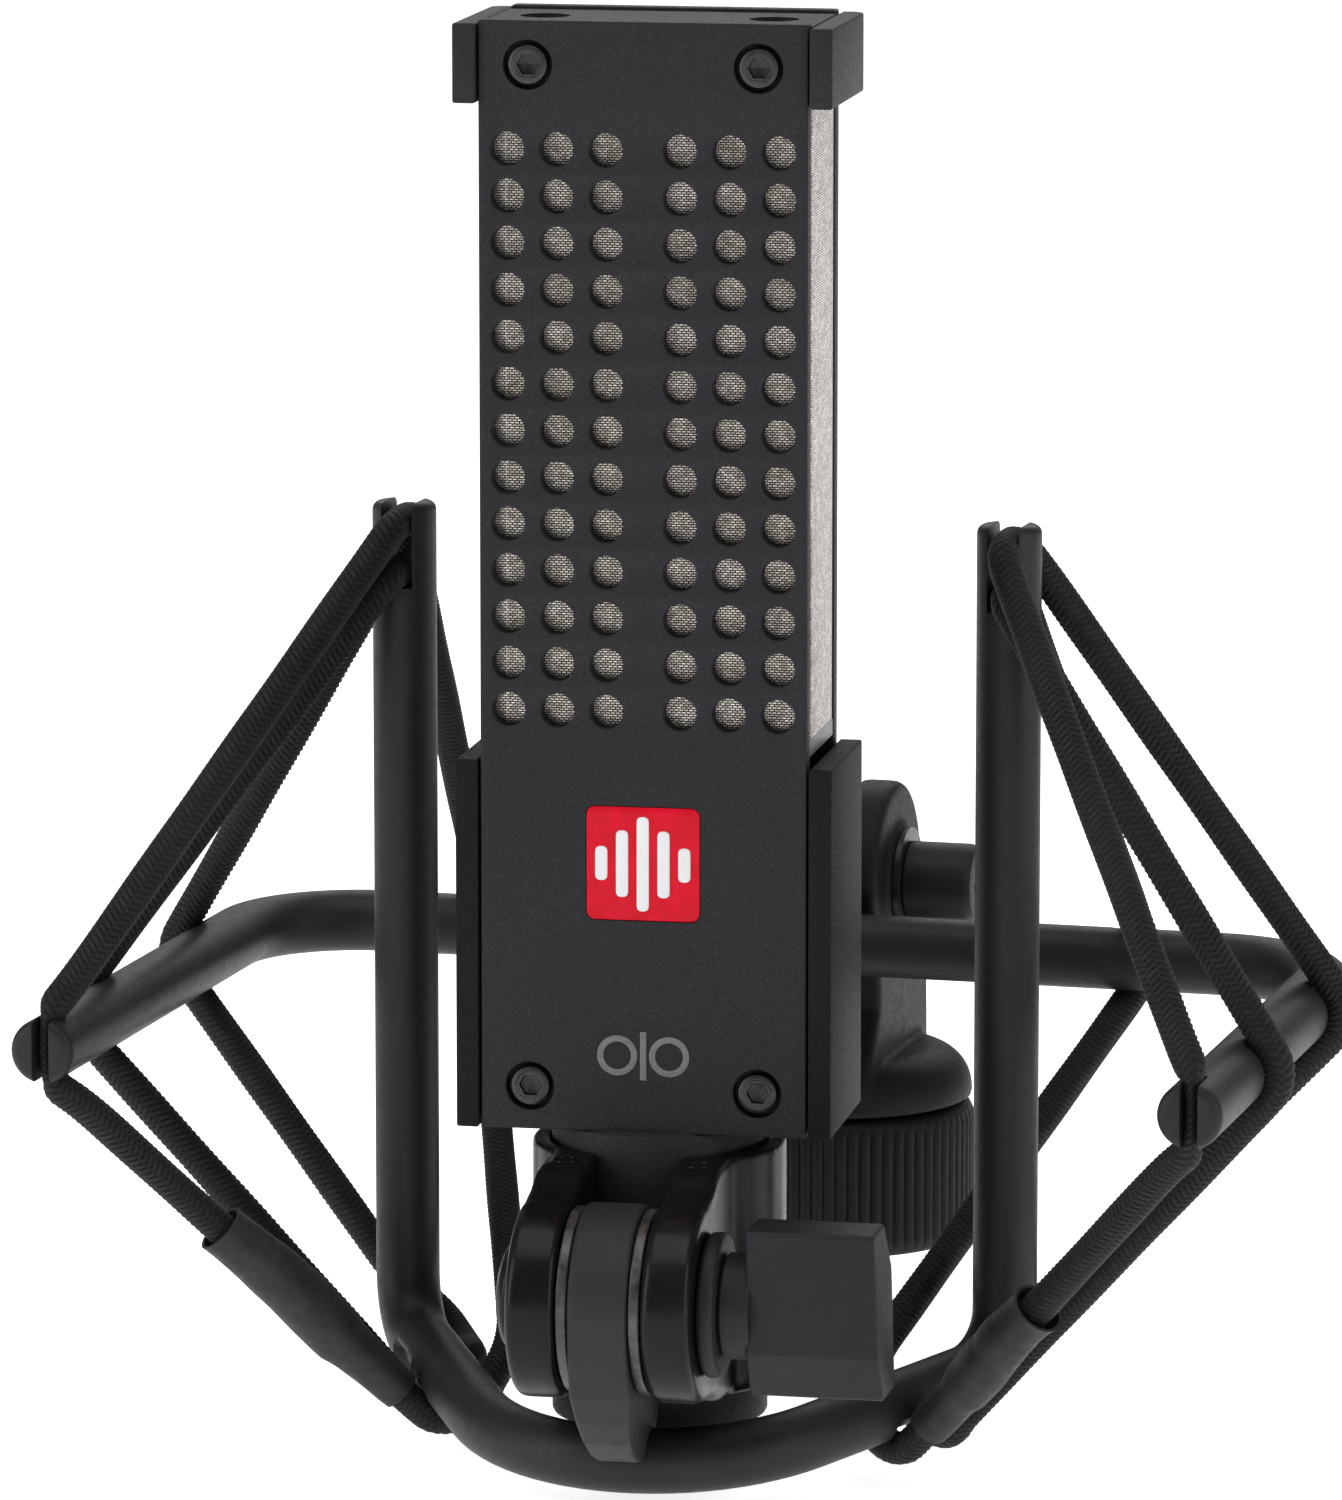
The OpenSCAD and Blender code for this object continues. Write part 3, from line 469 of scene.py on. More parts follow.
def rings(profile, n=64, closed=False):
    """Turned shape about Z: profile is [(r or a function of the angle, z)]. closed joins the last ring to the first, otherwise both ends are capped."""
    ang = [2 * math.pi * i / n for i in range(n)]
    verts, faces = [], []
    for r, z in profile:
        for a in ang:
            q = r(a) if callable(r) else r
            verts.append((q * math.cos(a), q * math.sin(a), z))
    m = len(profile)
    for j in range(m if closed else m - 1):
        k = (j + 1) % m
        for i in range(n):
            faces.append((j * n + i, j * n + (i + 1) % n, k * n + (i + 1) % n, k * n + i))
    if not closed:
        for j in (0, m - 1):
            c = len(verts)
            verts.append((0, 0, profile[j][1]))
            for i in range(n):
                a, b = j * n + i, j * n + (i + 1) % n
                faces.append((b, a, c) if j == 0 else (a, b, c))
    return new_mesh("turned", verts, faces)


def hexfun(af):
    return lambda a: (af / 2) / math.cos(((a + math.pi / 6) % (math.pi / 3)) - math.pi / 6)


def frames_along(P, hint=(0.3, 0.5, 0.8)):
    P = np.asarray(P, float)
    d = np.diff(P, axis=0)
    d /= np.linalg.norm(d, axis=1)[:, None]
    tn = np.vstack([d[:1], d[:-1] + d[1:], d[-1:]])
    tn /= np.linalg.norm(tn, axis=1)[:, None]
    u = np.array(hint, float)
    U = np.zeros_like(P)
    for i in range(len(P)):
        u = u - (u @ tn[i]) * tn[i]
        u /= np.linalg.norm(u)
        U[i] = u
    return tn, U, np.cross(tn, U)


def tube(P, radius, n=40, rim=None, hint=(0.3, 0.5, 0.8), dents=None):
    """A rod along P; radius is a number or one for each point. rim rounds both ends. dents are seats for the cord: (place, direction, half width, half angle, radius there)."""
    P = np.asarray(P, float)
    rr = np.full(len(P), radius, float) if np.isscalar(radius) else np.asarray(radius, float)
    if rim:
        def end(p, q, r):
            d = (q - p) / np.linalg.norm(q - p)
            return [(p + d * (rim * (1 - math.sin(rad(t)))), r - rim * (1 - math.cos(rad(t)))) for t in (90, 72, 54, 36, 18, 0)]
        a = end(P[0], P[1], rr[0])
        b = end(P[-1], P[-2], rr[-1])[::-1]
        keep = [i for i in range(len(P)) if np.linalg.norm(P[i] - P[0]) > rim * 1.02 and np.linalg.norm(P[i] - P[-1]) > rim * 1.02]
        P2 = [q[0] for q in a] + [P[i] for i in keep] + [q[0] for q in b]
        r2 = [q[1] for q in a] + [rr[i] for i in keep] + [q[1] for q in b]
        P, rr = np.array(P2), np.array(r2)
    tn, U, V = frames_along(P, hint)
    ang = np.linspace(0, 2 * np.pi, n, endpoint=False)
    ring = np.cos(ang)[None, :, None] * U[:, None, :] + np.sin(ang)[None, :, None] * V[:, None, :]
    r2d = np.repeat(rr[:, None], n, 1)
    for place, facing, half_w, half_a, deep in dents or ():
        place = np.asarray(place, float)
        j0 = int(np.argmin(np.linalg.norm(P - place, axis=1)))
        along = np.abs((P - place) @ tn[j0])
        near = np.linalg.norm(P - place, axis=1) < half_w + 6
        wl = np.where(near, np.clip((half_w + 0.7 - along) / 0.9, 0, 1), 0)
        f = np.asarray(facing, float)
        f = f / np.linalg.norm(f)
        ca = np.clip(ring @ f, -1, 1)
        wa = np.clip((half_a + 22 - np.degrees(np.arccos(ca))) / 22, 0, 1)
        wgt = wl[:, None] * wa
        wgt = wgt * wgt * (3 - 2 * wgt)
        r2d = np.minimum(r2d, rr[:, None] - (rr[:, None] - deep) * wgt)
    verts = (P[:, None, :] + r2d[:, :, None] * ring).reshape(-1, 3)
    m = len(P)
    faces = [(j * n + i, j * n + (i + 1) % n, (j + 1) * n + (i + 1) % n, (j + 1) * n + i) for j in range(m - 1) for i in range(n)]
    verts = np.vstack([verts, P[:1], P[-1:]])
    for i in range(n):
        faces.append(((i + 1) % n, i, m * n))
        faces.append(((m - 1) * n + i, (m - 1) * n + (i + 1) % n, m * n + 1))
    return new_mesh("tube", verts, faces)


def with_modifiers(me, steps):
    """Runs modifiers on a millimetre mesh and returns the result. steps is a list of functions that add one to the object."""
    o = bpy.data.objects.new("work", me)
    scene.collection.objects.link(o)
    for s in steps:
        s(o)
    dg = bpy.context.evaluated_depsgraph_get()
    out = bpy.data.meshes.new_from_object(o.evaluated_get(dg))
    bpy.data.objects.remove(o)
    bpy.data.meshes.remove(me)
    return out


def cut(me, tools):
    """me minus each tool mesh."""
    helpers = []

    def step(tool):
        def add(o):
            t = bpy.data.objects.new("tool", tool)
            scene.collection.objects.link(t)
            helpers.append(t)
            m = o.modifiers.new("cut", "BOOLEAN")
            m.operation, m.solver, m.object = "DIFFERENCE", "EXACT", t
        return add
    out = with_modifiers(me, [step(t) for t in tools])
    for h in helpers:
        d = h.data
        bpy.data.objects.remove(h)
        bpy.data.meshes.remove(d)
    return out


def cast(parts, tools, voxel=0.35, smooth=5, factor=0.5):
    """One flowing casting: the parts fused by a voxel remesh after the cuts, its edges and inner corners softened."""
    me = join(parts)

    def remesh(o):
        m = o.modifiers.new("fuse", "REMESH")
        m.mode, m.voxel_size, m.use_smooth_shade = "VOXEL", voxel, True

    def soften(o):
        m = o.modifiers.new("soft", "SMOOTH")
        m.factor, m.iterations = factor, smooth
    fused = with_modifiers(me, [remesh])
    if tools:
        fused = cut(fused, tools)
        fused = with_modifiers(fused, [remesh])
    return with_modifiers(fused, [soften])


def box_mesh(x0, x1, y0, y1, z0, z1):
    v = [(x, y, z) for z in (z0, z1) for y in (y0, y1) for x in (x0, x1)]
    f = [(0, 2, 3, 1), (4, 5, 7, 6), (0, 1, 5, 4), (2, 6, 7, 3), (0, 4, 6, 2), (1, 3, 7, 5)]
    return new_mesh("box", v, f)


def xtool(me, x0):
    """Turns a mesh made about Z into one about X, starting at x0."""
    me.transform(T(x0, 0, 0) @ R(90, "Y"))
    return me


def cyl(r, h, n=48, z0=0.0):
    return rings([(r, z0), (r, z0 + h)], n)


# ---------------------------------------------------------------- microphone body
BD, PT, PW, PH = 22.5, 2.5, 40.0, 135.0
HOLE_R, ROWS, PITCH = 2.05, 13, 5.66
rect = fillet([(-PW / 2, 0), (PW / 2, 0), (PW / 2, PH), (-PW / 2, PH)], 0.35, 3)
hole_c = [(s * x, 119.6 - i * PITCH) for x in (4.5, 10.5, 16.5) for s in (-1, 1) for i in range(ROWS)]
screw_c = [(x, z) for x in (-14, 14) for z in (5.3, PH - 5.3)]


def plate_mesh(front):
    me = flat(rect, [circle(HOLE_R, 32, *c) for c in hole_c] + [circle(1.7, 24, *c) for c in screw_c], PT, 0.18, 2)
    tools = []
    for c in screw_c:
        t = rings([(3.0, 2.0), (3.0, 0.1), (3.18, -0.08), (3.3, -1.0)][::-1], 48)   # axis w, mouth at the face
        t.transform(T(c[0], c[1], PT / 2) @ R(180, "X"))
        tools.append(t)
    if front:
        r = flat(fillet([(-7.05, -7.05), (7.05, -7.05), (7.05, 7.05), (-7.05, 7.05)], 1.3, 6), (), 1.2, 0.02, 0)
        r.transform(T(0, 33.2, PT / 2 + 0.1))
        tools.append(r)
        for lobe in pattern_shapes(0.06):
            lobe.transform(T(0, 9.5, PT / 2))
            tools.append(lobe)
    return cut(me, tools)


def pattern_shapes(gap, t=0.5):
    """Two rings and a bar: the general sign of a two-sided pickup pattern."""
    out = []
    for s in (-1, 1):
        out.append(flat(circle(2.5 + gap, 48, s * 3.2, 0), [circle(1.7 - gap, 40, s * 3.2, 0)], t, 0.01 if gap else 0.06, 0 if gap else 1))
    b = 0.4 + gap
    out.append(flat([(-b, -3 - gap), (b, -3 - gap), (b, 3 + gap), (-b, 3 + gap)], (), t, 0.01 if gap else 0.06, 0 if gap else 1))
    return out


YC = -(BD / 2 - PT / 2)
front = put("front_plate_finished", plate_mesh(True), MIC @ T(0, YC, 0) @ FACE_Y, M["body"], "microphone", ["front_plate"])
rear = put("rear_plate_finished", plate_mesh(False), MIC @ R(180, "Z") @ T(0, YC, 0) @ FACE_Y, M["body"], "microphone", ["rear_plate"])

mark = join([(m_, T(0, 9.5, 0)) for m_ in pattern_shapes(0.0, 0.34)])
put("pattern_sign", mark, MIC @ T(0, -BD / 2 + 0.12, 0) @ FACE_Y, M["mark"], "microphone", ["pattern_inlay"])

# badge: red enamel square with five upright bars
red = flat(fillet([(-6.95, -6.95), (6.95, -6.95), (6.95, 6.95), (-6.95, 6.95)], 1.2, 6), (), 0.56, 0.12, 2)
put("badge_field", red, MIC @ T(0, -BD / 2 + 0.2, 33.2) @ FACE_Y, M["red"], "microphone", ["badge"])
bars = []
for i, hh in enumerate((4.2, 8.2, 11.6, 8.2, 4.2)):
    x = (i - 2) * 2.55
    bars.append((flat(fillet([(x - 0.75, -hh / 2), (x + 0.75, -hh / 2), (x + 0.75, hh / 2), (x - 0.75, hh / 2)], 0.7, 6), (), 0.5, 0.12, 2), Matrix.Identity(4)))
put("badge_bars", join(bars), MIC @ T(0, -BD / 2 - 0.02, 33.2) @ FACE_Y, M["white"], "microphone", ())

# top cap: slab between the plates and two end blocks
end2d = fillet([(20.25, -12.05), (23.05, -12.05), (23.05, 11.0), (22.0, 12.05), (20.25, 12.05)], [0.25, 0.3, 0.3, 0.3, 0.25], 3)
cap_parts = []
for s in (1, -1):
    pts = [(s * x, y) for x, y in end2d]
    cap_parts.append((flat(pts, (), 9.6, 0.32, 2), T(0, 0, 125 + 4.8)))
slab = flat(fillet([(-20.1, -8.65), (20.1, -8.65), (20.1, 8.65), (-20.1, 8.65)], 0.2, 2), [circle(1.7, 24, x, 0) for x in (-14, 14)], 8.0, 0.2, 2)
slab.transform(T(0, 0, 126.6 + 4.0))
slab = cut(slab, [cyl(3.0, 4.0, 48, 132.2)] and [(lambda m_, x: (m_.transform(T(x, 0, 0)), m_)[1])(cyl(3.0, 4.0, 48, 132.2), x) for x in (-14, 14)])
cap_parts.append((slab, Matrix.Identity(4)))
put("top_cap_finished", join(cap_parts), MIC, M["body"], "microphone", ["top_cap"])

side2d = fillet([(20.3, -11.55), (23.1, -11.55), (23.1, 11.55), (20.3, 11.55)], [0.2, 0.35, 0.35, 0.2], 3)
for s, nm in ((1, "right"), (-1, "left")):
    me = flat([(s * x, y) for x, y in side2d], (), 45.4, 0.3, 2)
    put(nm + "_side_plate_finished", me, MIC @ T(0, 0, 22.7), M["side"], "microphone", [nm + "_side_plate"])


def screw(head_r, head_h, shank_r, length, af=2.4, socket=1.1):
    """Socket head cap screw, head from z 0 to head_h, shank below."""
    hx = hexfun(af)
    prof = [(0.0001, -length), (shank_r * 0.7, -length), (shank_r, -length + 0.35), (shank_r, 0), (head_r - 0.1, 0), (head_r, 0.1),
            (head_r, head_h - 0.4), (head_r - 0.1, head_h - 0.14), (head_r - 0.4, head_h), (1.78, head_h), (1.66, head_h - 0.1), (lambda a: hx(a) + 0.12, head_h - 0.12),
            (lambda a: hx(a), head_h - 0.22), (lambda a: hx(a) - 0.02, head_h - 0.3), (lambda a: hx(a) - 0.02, head_h - socket), (0.0001, head_h - socket - 0.2)]
    me = rings(prof, 48)
    # mask of the hex socket, where the colour is painted near-black as shade
    painted_socket_shade = np.zeros(len(me.vertices), np.float32)
    painted_socket_shade[13 * 48:16 * 48] = 1.0
    painted_socket_shade[-1] = 1.0
    a_ = me.attributes.new("painted_socket_shade", "FLOAT", "POINT")
    a_.data.foreach_set("value", painted_socket_shade)
    return me


sc = []
for q in (0, 180):
    for (x, z) in screw_c:
        sc.append((screw(2.4, 1.5, 1.25, 4.6), R(q, "Z") @ T(x, -BD / 2 + 1.6, z) @ R(90, "X") @ R(30, "Z")))
put("plate_screw_set", join(sc), MIC, M["dark_metal"], "microphone", ["plate_screws"], angle=28)
put("cap_screw_set", join([(screw(2.4, 1.6, 1.25, 10), T(x, 0, 132.2)) for x in (-14, 14)]), MIC, M["dark_metal"], "microphone", ["cap_screws"], angle=28)

# woven screen: a rounded tube with UVs in millimetres and a seam near the left front corner
sec = []
for (cx, cy, a0) in ((18.7, 7.4, 0), (-18.7, 7.4, 90), (-18.7, -7.4, 180), (18.7, -7.4, 270)):
    sec += [(cx + 1.25 * math.cos(rad(a0 + k * 15)), cy + 1.25 * math.sin(rad(a0 + k * 15))) for k in range(7)]
# extra points on the front face so that the seam has a narrow band
front_y = -8.65
i0 = max(i for i, p in enumerate(sec) if p[0] < 0 and abs(p[1] - front_y) < 1e-6)
sec = sec[:i0 + 1] + [(-17.32, front_y), (-17.24, front_y), (-17.12, front_y), (-17.04, front_y)] + sec[i0 + 1:]
verts, uvs, seam_v, faces, fuv = [], [], [], [], []
per = [0.0]
for i in range(len(sec)):
    a, b = sec[i], sec[(i + 1) % len(sec)]
    per.append(per[-1] + math.hypot(b[0] - a[0], b[1] - a[1]))
levels = [48.5 + 77.9 * k / 26 for k in range(27)]
for z in levels:
    for (x, y) in sec:
        verts.append((x, y, z))
        seam_v.append(1.0 if (-17.25 < x < -17.11 and y < 0) else 0.0)
n = len(sec)
for j in range(len(levels) - 1):
    for i in range(n):
        k = (i + 1) % n
        faces.append((j * n + i, j * n + k, (j + 1) * n + k, (j + 1) * n + i))
        fuv.append([(per[i], levels[j]), (per[i + 1], levels[j]), (per[i + 1], levels[j + 1]), (per[i], levels[j + 1])])
inner = len(verts)
for z in levels:
    for (x, y) in sec:
        s_ = 0.35 / max(abs(x), 1e-6)
        verts.append((x - math.copysign(0.35 * (abs(x) > 17.5), x), y - math.copysign(0.35 * (abs(y) > 6.2), y), z))
        seam_v.append(0.0)
for j in range(len(levels) - 1):
    for i in range(n):
        k = (i + 1) % n
        faces.append((inner + j * n + k, inner + j * n + i, inner + (j + 1) * n + i, inner + (j + 1) * n + k))
        fuv.append([(per[i + 1], levels[j]), (per[i], levels[j]), (per[i], levels[j + 1]), (per[i + 1], levels[j + 1])])
for j in (0, len(levels) - 1):
    for i in range(n):
        k = (i + 1) % n
        f = (j * n + k, j * n + i, inner + j * n + i, inner + j * n + k)
        faces.append(f if j == 0 else f[::-1])
        fuv.append([(0, 0)] * 4)
scr = new_mesh("screen", verts, faces, fuv, {"seam": seam_v})
put("woven_screen", scr, MIC, M["wire"], "microphone", ["mesh_screen"], recalc=False)

# connector neck, with a chamfered mouth and a shoulder at the top
neck = rings([(9.5, -37.0), (9.75, -37.0), (12.75, -37.0), (13.1, -36.85), (13.25, -36.5), (13.25, -0.5), (13.1, -0.15), (12.7, 0.05), (12.4, 0.25), (6.6, 0.25), (6.5, 0.4), (6.5, 10.7), (6.2, 11.0),
              (5.0, 11.0), (5.0, -17.0), (9.5, -17.0), (9.5, -36.7)], 96, closed=True)
put("connector_shell", neck, MIC, M["neck"], "microphone", ["connector_neck"], angle=40)

# ---------------------------------------------------------------- tilting clamp
PY, PZ = -27.0, -17.2
ear = [(PY + 12 * math.cos(rad(a)), PZ + 12 * math.sin(rad(a))) for a in range(91, 270, 3)]
ear += [(-23.0, -29.7), (-20.0, -30.8), (-17.0, -31.6), (-9.0, -32.2), (-9.0, -2.5), (-18.2, -2.5), (-20.6, -2.9), (-23.4, -4.3)]
parts = []
for s in (1, -1):
    m_ = flat(ear, (), 6.1, 1.1, 4)
    m_.transform(T(s * 8.25, 0, 0) @ ALONG_X)
    parts.append((m_, Matrix.Identity(4)))
ring_tool = rings([(15.6, -31.9), (15.2, -32.3), (6.0, -32.3), (6.0, -2.4), (15.2, -2.4), (15.6, -2.8)], 96, closed=True)
parts.append((ring_tool, Matrix.Identity(4)))
tools = [cyl(13.33, 60, 96, -45), box_mesh(-5.2, 5.2, -48, -8.5, -50, 20)]
bolt_tool = cyl(3.2, 60, 40)
bolt_tool.transform(T(-30, PY, PZ) @ R(90, "Y"))
tools.append(bolt_tool)
clamp = cast(parts, tools, voxel=0.34, smooth=10, factor=0.5)
put("clamp_casting", clamp, CLAMP, M["gloss"], "mic_clamp", ["clamp_ring"], angle=60)
marks = []
for s in (1, -1):
    t_ = [(1.5 + 0.16 * math.cos(rad(a)), 0.16 * math.sin(rad(a))) for a in range(0, 360, 45)]
    marks.append((rings([(r_, z_) for r_, z_ in t_], 40, closed=True), T(s * 8.2, -17.0, -2.46)))
put("clamp_marks", join(marks), CLAMP, M["gloss"], "mic_clamp", ())

bolt = rings([(0.001, 0.4), (3.0, 0.4), (3.0, 33.8), (2.6, 34.2), (0.001, 34.2)], 48)
dome = rings([(3.5, 0.0), (6.3, 0.0), (6.6, 0.3), (6.6, 0.9)] + [(6.6 * math.cos(rad(a)) ** 0.8, 0.9 + 1.9 * math.sin(rad(a))) for a in (12, 26, 40, 54, 68, 80)] + [(0.001, 2.8)], 64)
put("tilt_bolt_finished", join([(bolt, T(-12.2, 0, 0) @ R(90, "Y")), (dome, T(-11.32, 0, 0) @ R(-90, "Y"))]), PIVOT, M["gloss"], "mic_clamp", ["tilt_bolt"], angle=40)

wsh = []
for s in (1, -1):
    prof = fillet([(3.1, 3.75), (11.2, 3.75), (11.2, 5.1), (3.1, 5.1)], 0.3, 4)
    wsh.append((rings(prof, 96, closed=True), (Matrix.Identity(4) if s > 0 else MIRROR) @ R(90, "Y")))
put("friction_discs", join(wsh), PIVOT, M["rubber"], "mic_clamp", ["friction_washers"], angle=50)
prof = fillet([(3.1, 11.4), (8.75, 11.4), (8.75, 13.5), (3.1, 13.5)], 0.85, 6)
put("flange_disc", rings(prof, 80, closed=True), PIVOT @ R(90, "Y"), M["knob"], "mic_clamp", ["knob_washer"], angle=50)


def wing(x0, x1, hub0, hub1, hub_r, scale=1.0, slant=0.0):
    w2 = [(-5.4, 9.8), (-4.9, 10.4), (1.6, 10.4), (2.4, 9.9), (5.4, 4.6), (5.4, -9.8), (4.9, -10.4), (-1.6, -10.4), (-2.4, -9.9), (-5.4, -4.6)]
    w2 = [(a * scale, b * scale) for a, b in [(-5.4, 10.4), (2.2, 10.4), (5.4, 4.6), (5.4, -10.4), (-2.2, -10.4), (-5.4, -4.6)]]
    body = flat(fillet(w2, 0.7, 4), (), x1 - x0, 0.45, 3)
    body.transform(T((x0 + x1) / 2, 0, 0) @ ALONG_X)
    for v in body.vertices:
        f = max(0.0, (v.co.x - (x0 + x1) / 2) / ((x1 - x0) / 2))
        v.co.x -= slant * f * (v.co.z / (10.4 * scale) * 0.5 + 0.5) ** 2
    hub = rings([(3.2, hub0), (hub_r - 0.4, hub0), (hub_r, hub0 + 0.4), (hub_r, hub1), (3.2, hub1)], 72, closed=True)
    return join([(body, Matrix.Identity(4)), (hub, R(90, "Y"))])


put("wing_knob_front", wing(16.9, 33.2, 13.6, 17.4, 6.4, 1.0, 0.8), PIVOT, M["knob"], "tilt_knob_body", ["tilt_knob"], angle=34)

# ---------------------------------------------------------------- inner frame
def bow_pt(l, w, a):
    x, d, out = BOW_R * SA + l * CA, BOW_R * (1 - CA) + l * SA, w * math.cos(rad(a))
    return np.array([x + out * SA, -104.8 + d * CT - out * CA * CT, -5.7 + d * ST - out * CA * ST + w * math.sin(rad(a))])


def inner_path():
    foot_dir = np.array([CA, SA * CT, SA * ST])
    turn = math.acos(max(-1, min(1, foot_dir[2])))
    fr = 8.0
    ft = fr * math.tan(turn / 2)
    half, tags = [], []
    for k in range(0, 13):
        a = rad(BOW_A) * k / 12
        half.append(np.array([BOW_R * math.sin(a), -104.8 + BOW_R * (1 - math.cos(a)) * CT, -5.7 + BOW_R * (1 - math.cos(a)) * ST]))
        tags.append(None)
    for l in np.arange(0.8, BOW_L - ft, 0.4):
        half.append(bow_pt(l, 0, 0))
        tags.append(l)
    corner = np.array([POST_X, FOOT_Y, FOOT_Z])
    s, e = corner - foot_dir * ft, corner + np.array([0, 0, 1.0]) * ft
    hd = foot_dir - foot_dir[2] * np.array([0, 0, 1.0])
    hd /= np.linalg.norm(hd)
    c = e - hd * fr
    for k in range(0, 13):
        a = -turn + turn * k / 12
        half.append(c + fr * (math.cos(a) * hd + math.sin(a) * np.array([0, 0, 1.0])))
        tags.append(None)
    for z in np.linspace(e[2] + 2, POST_TOP, 24):
        half.append(np.array([POST_X, FOOT_Y, z]))
        tags.append(None)
    left = [p * np.array([-1, 1, 1]) for p in half[:0:-1]]
    return np.array(left + half)


def seat_dir(l, a):
    d = bow_pt(l, 1.0, a) - bow_pt(l, 0.0, 0.0)
    return d / np.linalg.norm(d)


seats = []
for m_ in (1, -1):
    k = np.array([m_, 1, 1])
    seats.append((bow_pt(13.8, 0, 0) * k, seat_dir(13.8, -104) * k, 2.4, 75, 2.8))
    seats.append((bow_pt(21.5, 0, 0) * k, seat_dir(21.5, -98) * k, 3.4, 98, 2.8))
rod = tube(inner_path(), 4.0, 64, rim=1.1, hint=(0, 1, 0.1), dents=seats)
slot_tools = []
for s in (1, -1):
    t_ = flat(fillet([(-2, -14), (2, -14), (2, 14), (-2, 14)], 0.0, 1), (), 12.6, 0.01, 0)   # x, z, thickness along y
    t_.transform(T(s * POST_X, FOOT_Y, POST_TOP + 3.4) @ FACE_Y)
    slot_tools.append(t_)


def soft_edges(width, seg=2, angle=38):
    def add(o):
        m = o.modifiers.new("edge", "BEVEL")
        m.width, m.segments, m.limit_method, m.angle_limit, m.harden_normals = width, seg, "ANGLE", rad(angle), False
    return add


rod = cut(rod, slot_tools)
rod = with_modifiers(rod, [soft_edges(0.55, 3, 40)])
put("inner_rod_frame", rod, Matrix.Identity(4), M["rod"], "inner_frame", ["inner_yoke"], angle=40)

lug = [(PY + 11.7 * math.cos(rad(a)), PZ + 11.7 * math.sin(rad(a))) for a in range(-12, 181, 4)]
lug += [(-38.2, -22.5), (-37.2, -27.0), (-35.3, -30.6), (-32.5, -33.7), (-29.3, -36.0), (-26.0, -37.4), (-22.6, -38.0), (-19.0, -38.2), (-15.0, -34.5)]
lugm = flat(fillet(lug, 0.5, 2), [circle(3.1, 40, PY, PZ)], 7.2, 0.55, 3)
for v in lugm.vertices:
    v.co.z *= 1.0 - 0.26 * min(1.0, max(0.0, (-27.0 - v.co.y) / 9.0))
put("centre_lug_finished", lugm, CLAMP @ ALONG_X, M["lug"], "inner_frame", ["centre_lug"], angle=40)

# ---------------------------------------------------------------- outer frame
half, tags = [], []
for x in np.arange(0, ARM_X - ARM_BEND, 0.5):
    half.append((x, BAR_Y, BAR_Z))
    tags.append(("x", x))
for k in range(0, 17):
    a = rad(90 - 90 * k / 16)
    half.append((ARM_X - ARM_BEND + ARM_BEND * math.cos(a), BAR_Y - ARM_BEND + ARM_BEND * math.sin(a), BAR_Z))
    tags.append(None)
for y in np.arange(BAR_Y - ARM_BEND - 0.5, TIP_Y, -0.5):
    half.append((ARM_X, y, BAR_Z))
    tags.append(("y", y))
half.append((ARM_X, TIP_Y, BAR_Z))
tags.append(None)
half = np.array(half)
P = np.vstack([half[:0:-1] * np.array([-1, 1, 1]), half])
seats = []
for m_ in (1, -1):
    seats.append(((m_ * ARM_X, -83.0, BAR_Z), (m_, 0, -0.1), 2.4, 62, 2.8))
    seats.append(((m_ * ARM_X, -44.3, BAR_Z), (m_, 0, -0.1), 2.6, 62, 2.8))
    seats.append(((m_ * 44.0, BAR_Y, BAR_Z), (0, 1, -0.1), 2.2, 72, 2.8))
orod = tube(P, 4.0, 64, rim=1.1, hint=(0, 0.1, 1), dents=seats)
tools = [box_mesh(s * ARM_X - 1.1, s * ARM_X + 1.1, TIP_Y - 2, TIP_Y + 6, BAR_Z - 8, BAR_Z + 8) for s in (1, -1)]
orod = cut(orod, tools)
orod = with_modifiers(orod, [soft_edges(0.3, 3, 40)])
put("outer_rod_frame", orod, Matrix.Identity(4), M["rod"], "outer_frame", ["outer_yoke"], angle=40)

olug = [(10.5 * math.cos(rad(a)), 47.5 + 10.5 * math.sin(rad(a))) for a in range(-90, 91, 6)]
olug += [(BAR_Y - 1.5, BAR_Z + 5.5), (BAR_Y - 4.6, BAR_Z + 3.2), (BAR_Y - 5.4, BAR_Z), (BAR_Y - 4.6, BAR_Z - 3.2), (BAR_Y - 1.5, BAR_Z - 5.5)]
put("outer_lug_finished", flat(fillet(olug, 0.4, 2), [circle(4.1, 40, 0, 47.5)], 6.6, 0.5, 3), ALONG_X, M["lug"], "outer_frame", ["outer_lug"], angle=40)

# ---------------------------------------------------------------- elastic cords
WR, TIP = 5.35, np.array([ARM_X, TIP_Y + 3.4, BAR_Z])
SLOT_U, SLOT_L = np.array([POST_X, FOOT_Y, POST_TOP - 2.5]), np.array([POST_X, FOOT_Y, POST_TOP - 8.5])


def wrap_bow(l0, l1, a0, a1, n):
    return [bow_pt(l0 + (l1 - l0) * i / n, WR, a0 + (a1 - a0) * i / n) for i in range(n + 1)]


def wrap_arm(y, a0, a1, n, w=5.05):
    return [np.array([ARM_X + w * math.cos(rad(a0 + (a1 - a0) * i / n)), y, BAR_Z + w * math.sin(rad(a0 + (a1 - a0) * i / n))]) for i in range(n + 1)]


def wrap_rear(x, a0, a1, n, w=5.05):
    return [np.array([x, BAR_Y + w * math.cos(rad(a0 + (a1 - a0) * i / n)), BAR_Z + w * math.sin(rad(a0 + (a1 - a0) * i / n))]) for i in range(n + 1)]


def unit(v):
    return v / np.linalg.norm(v)


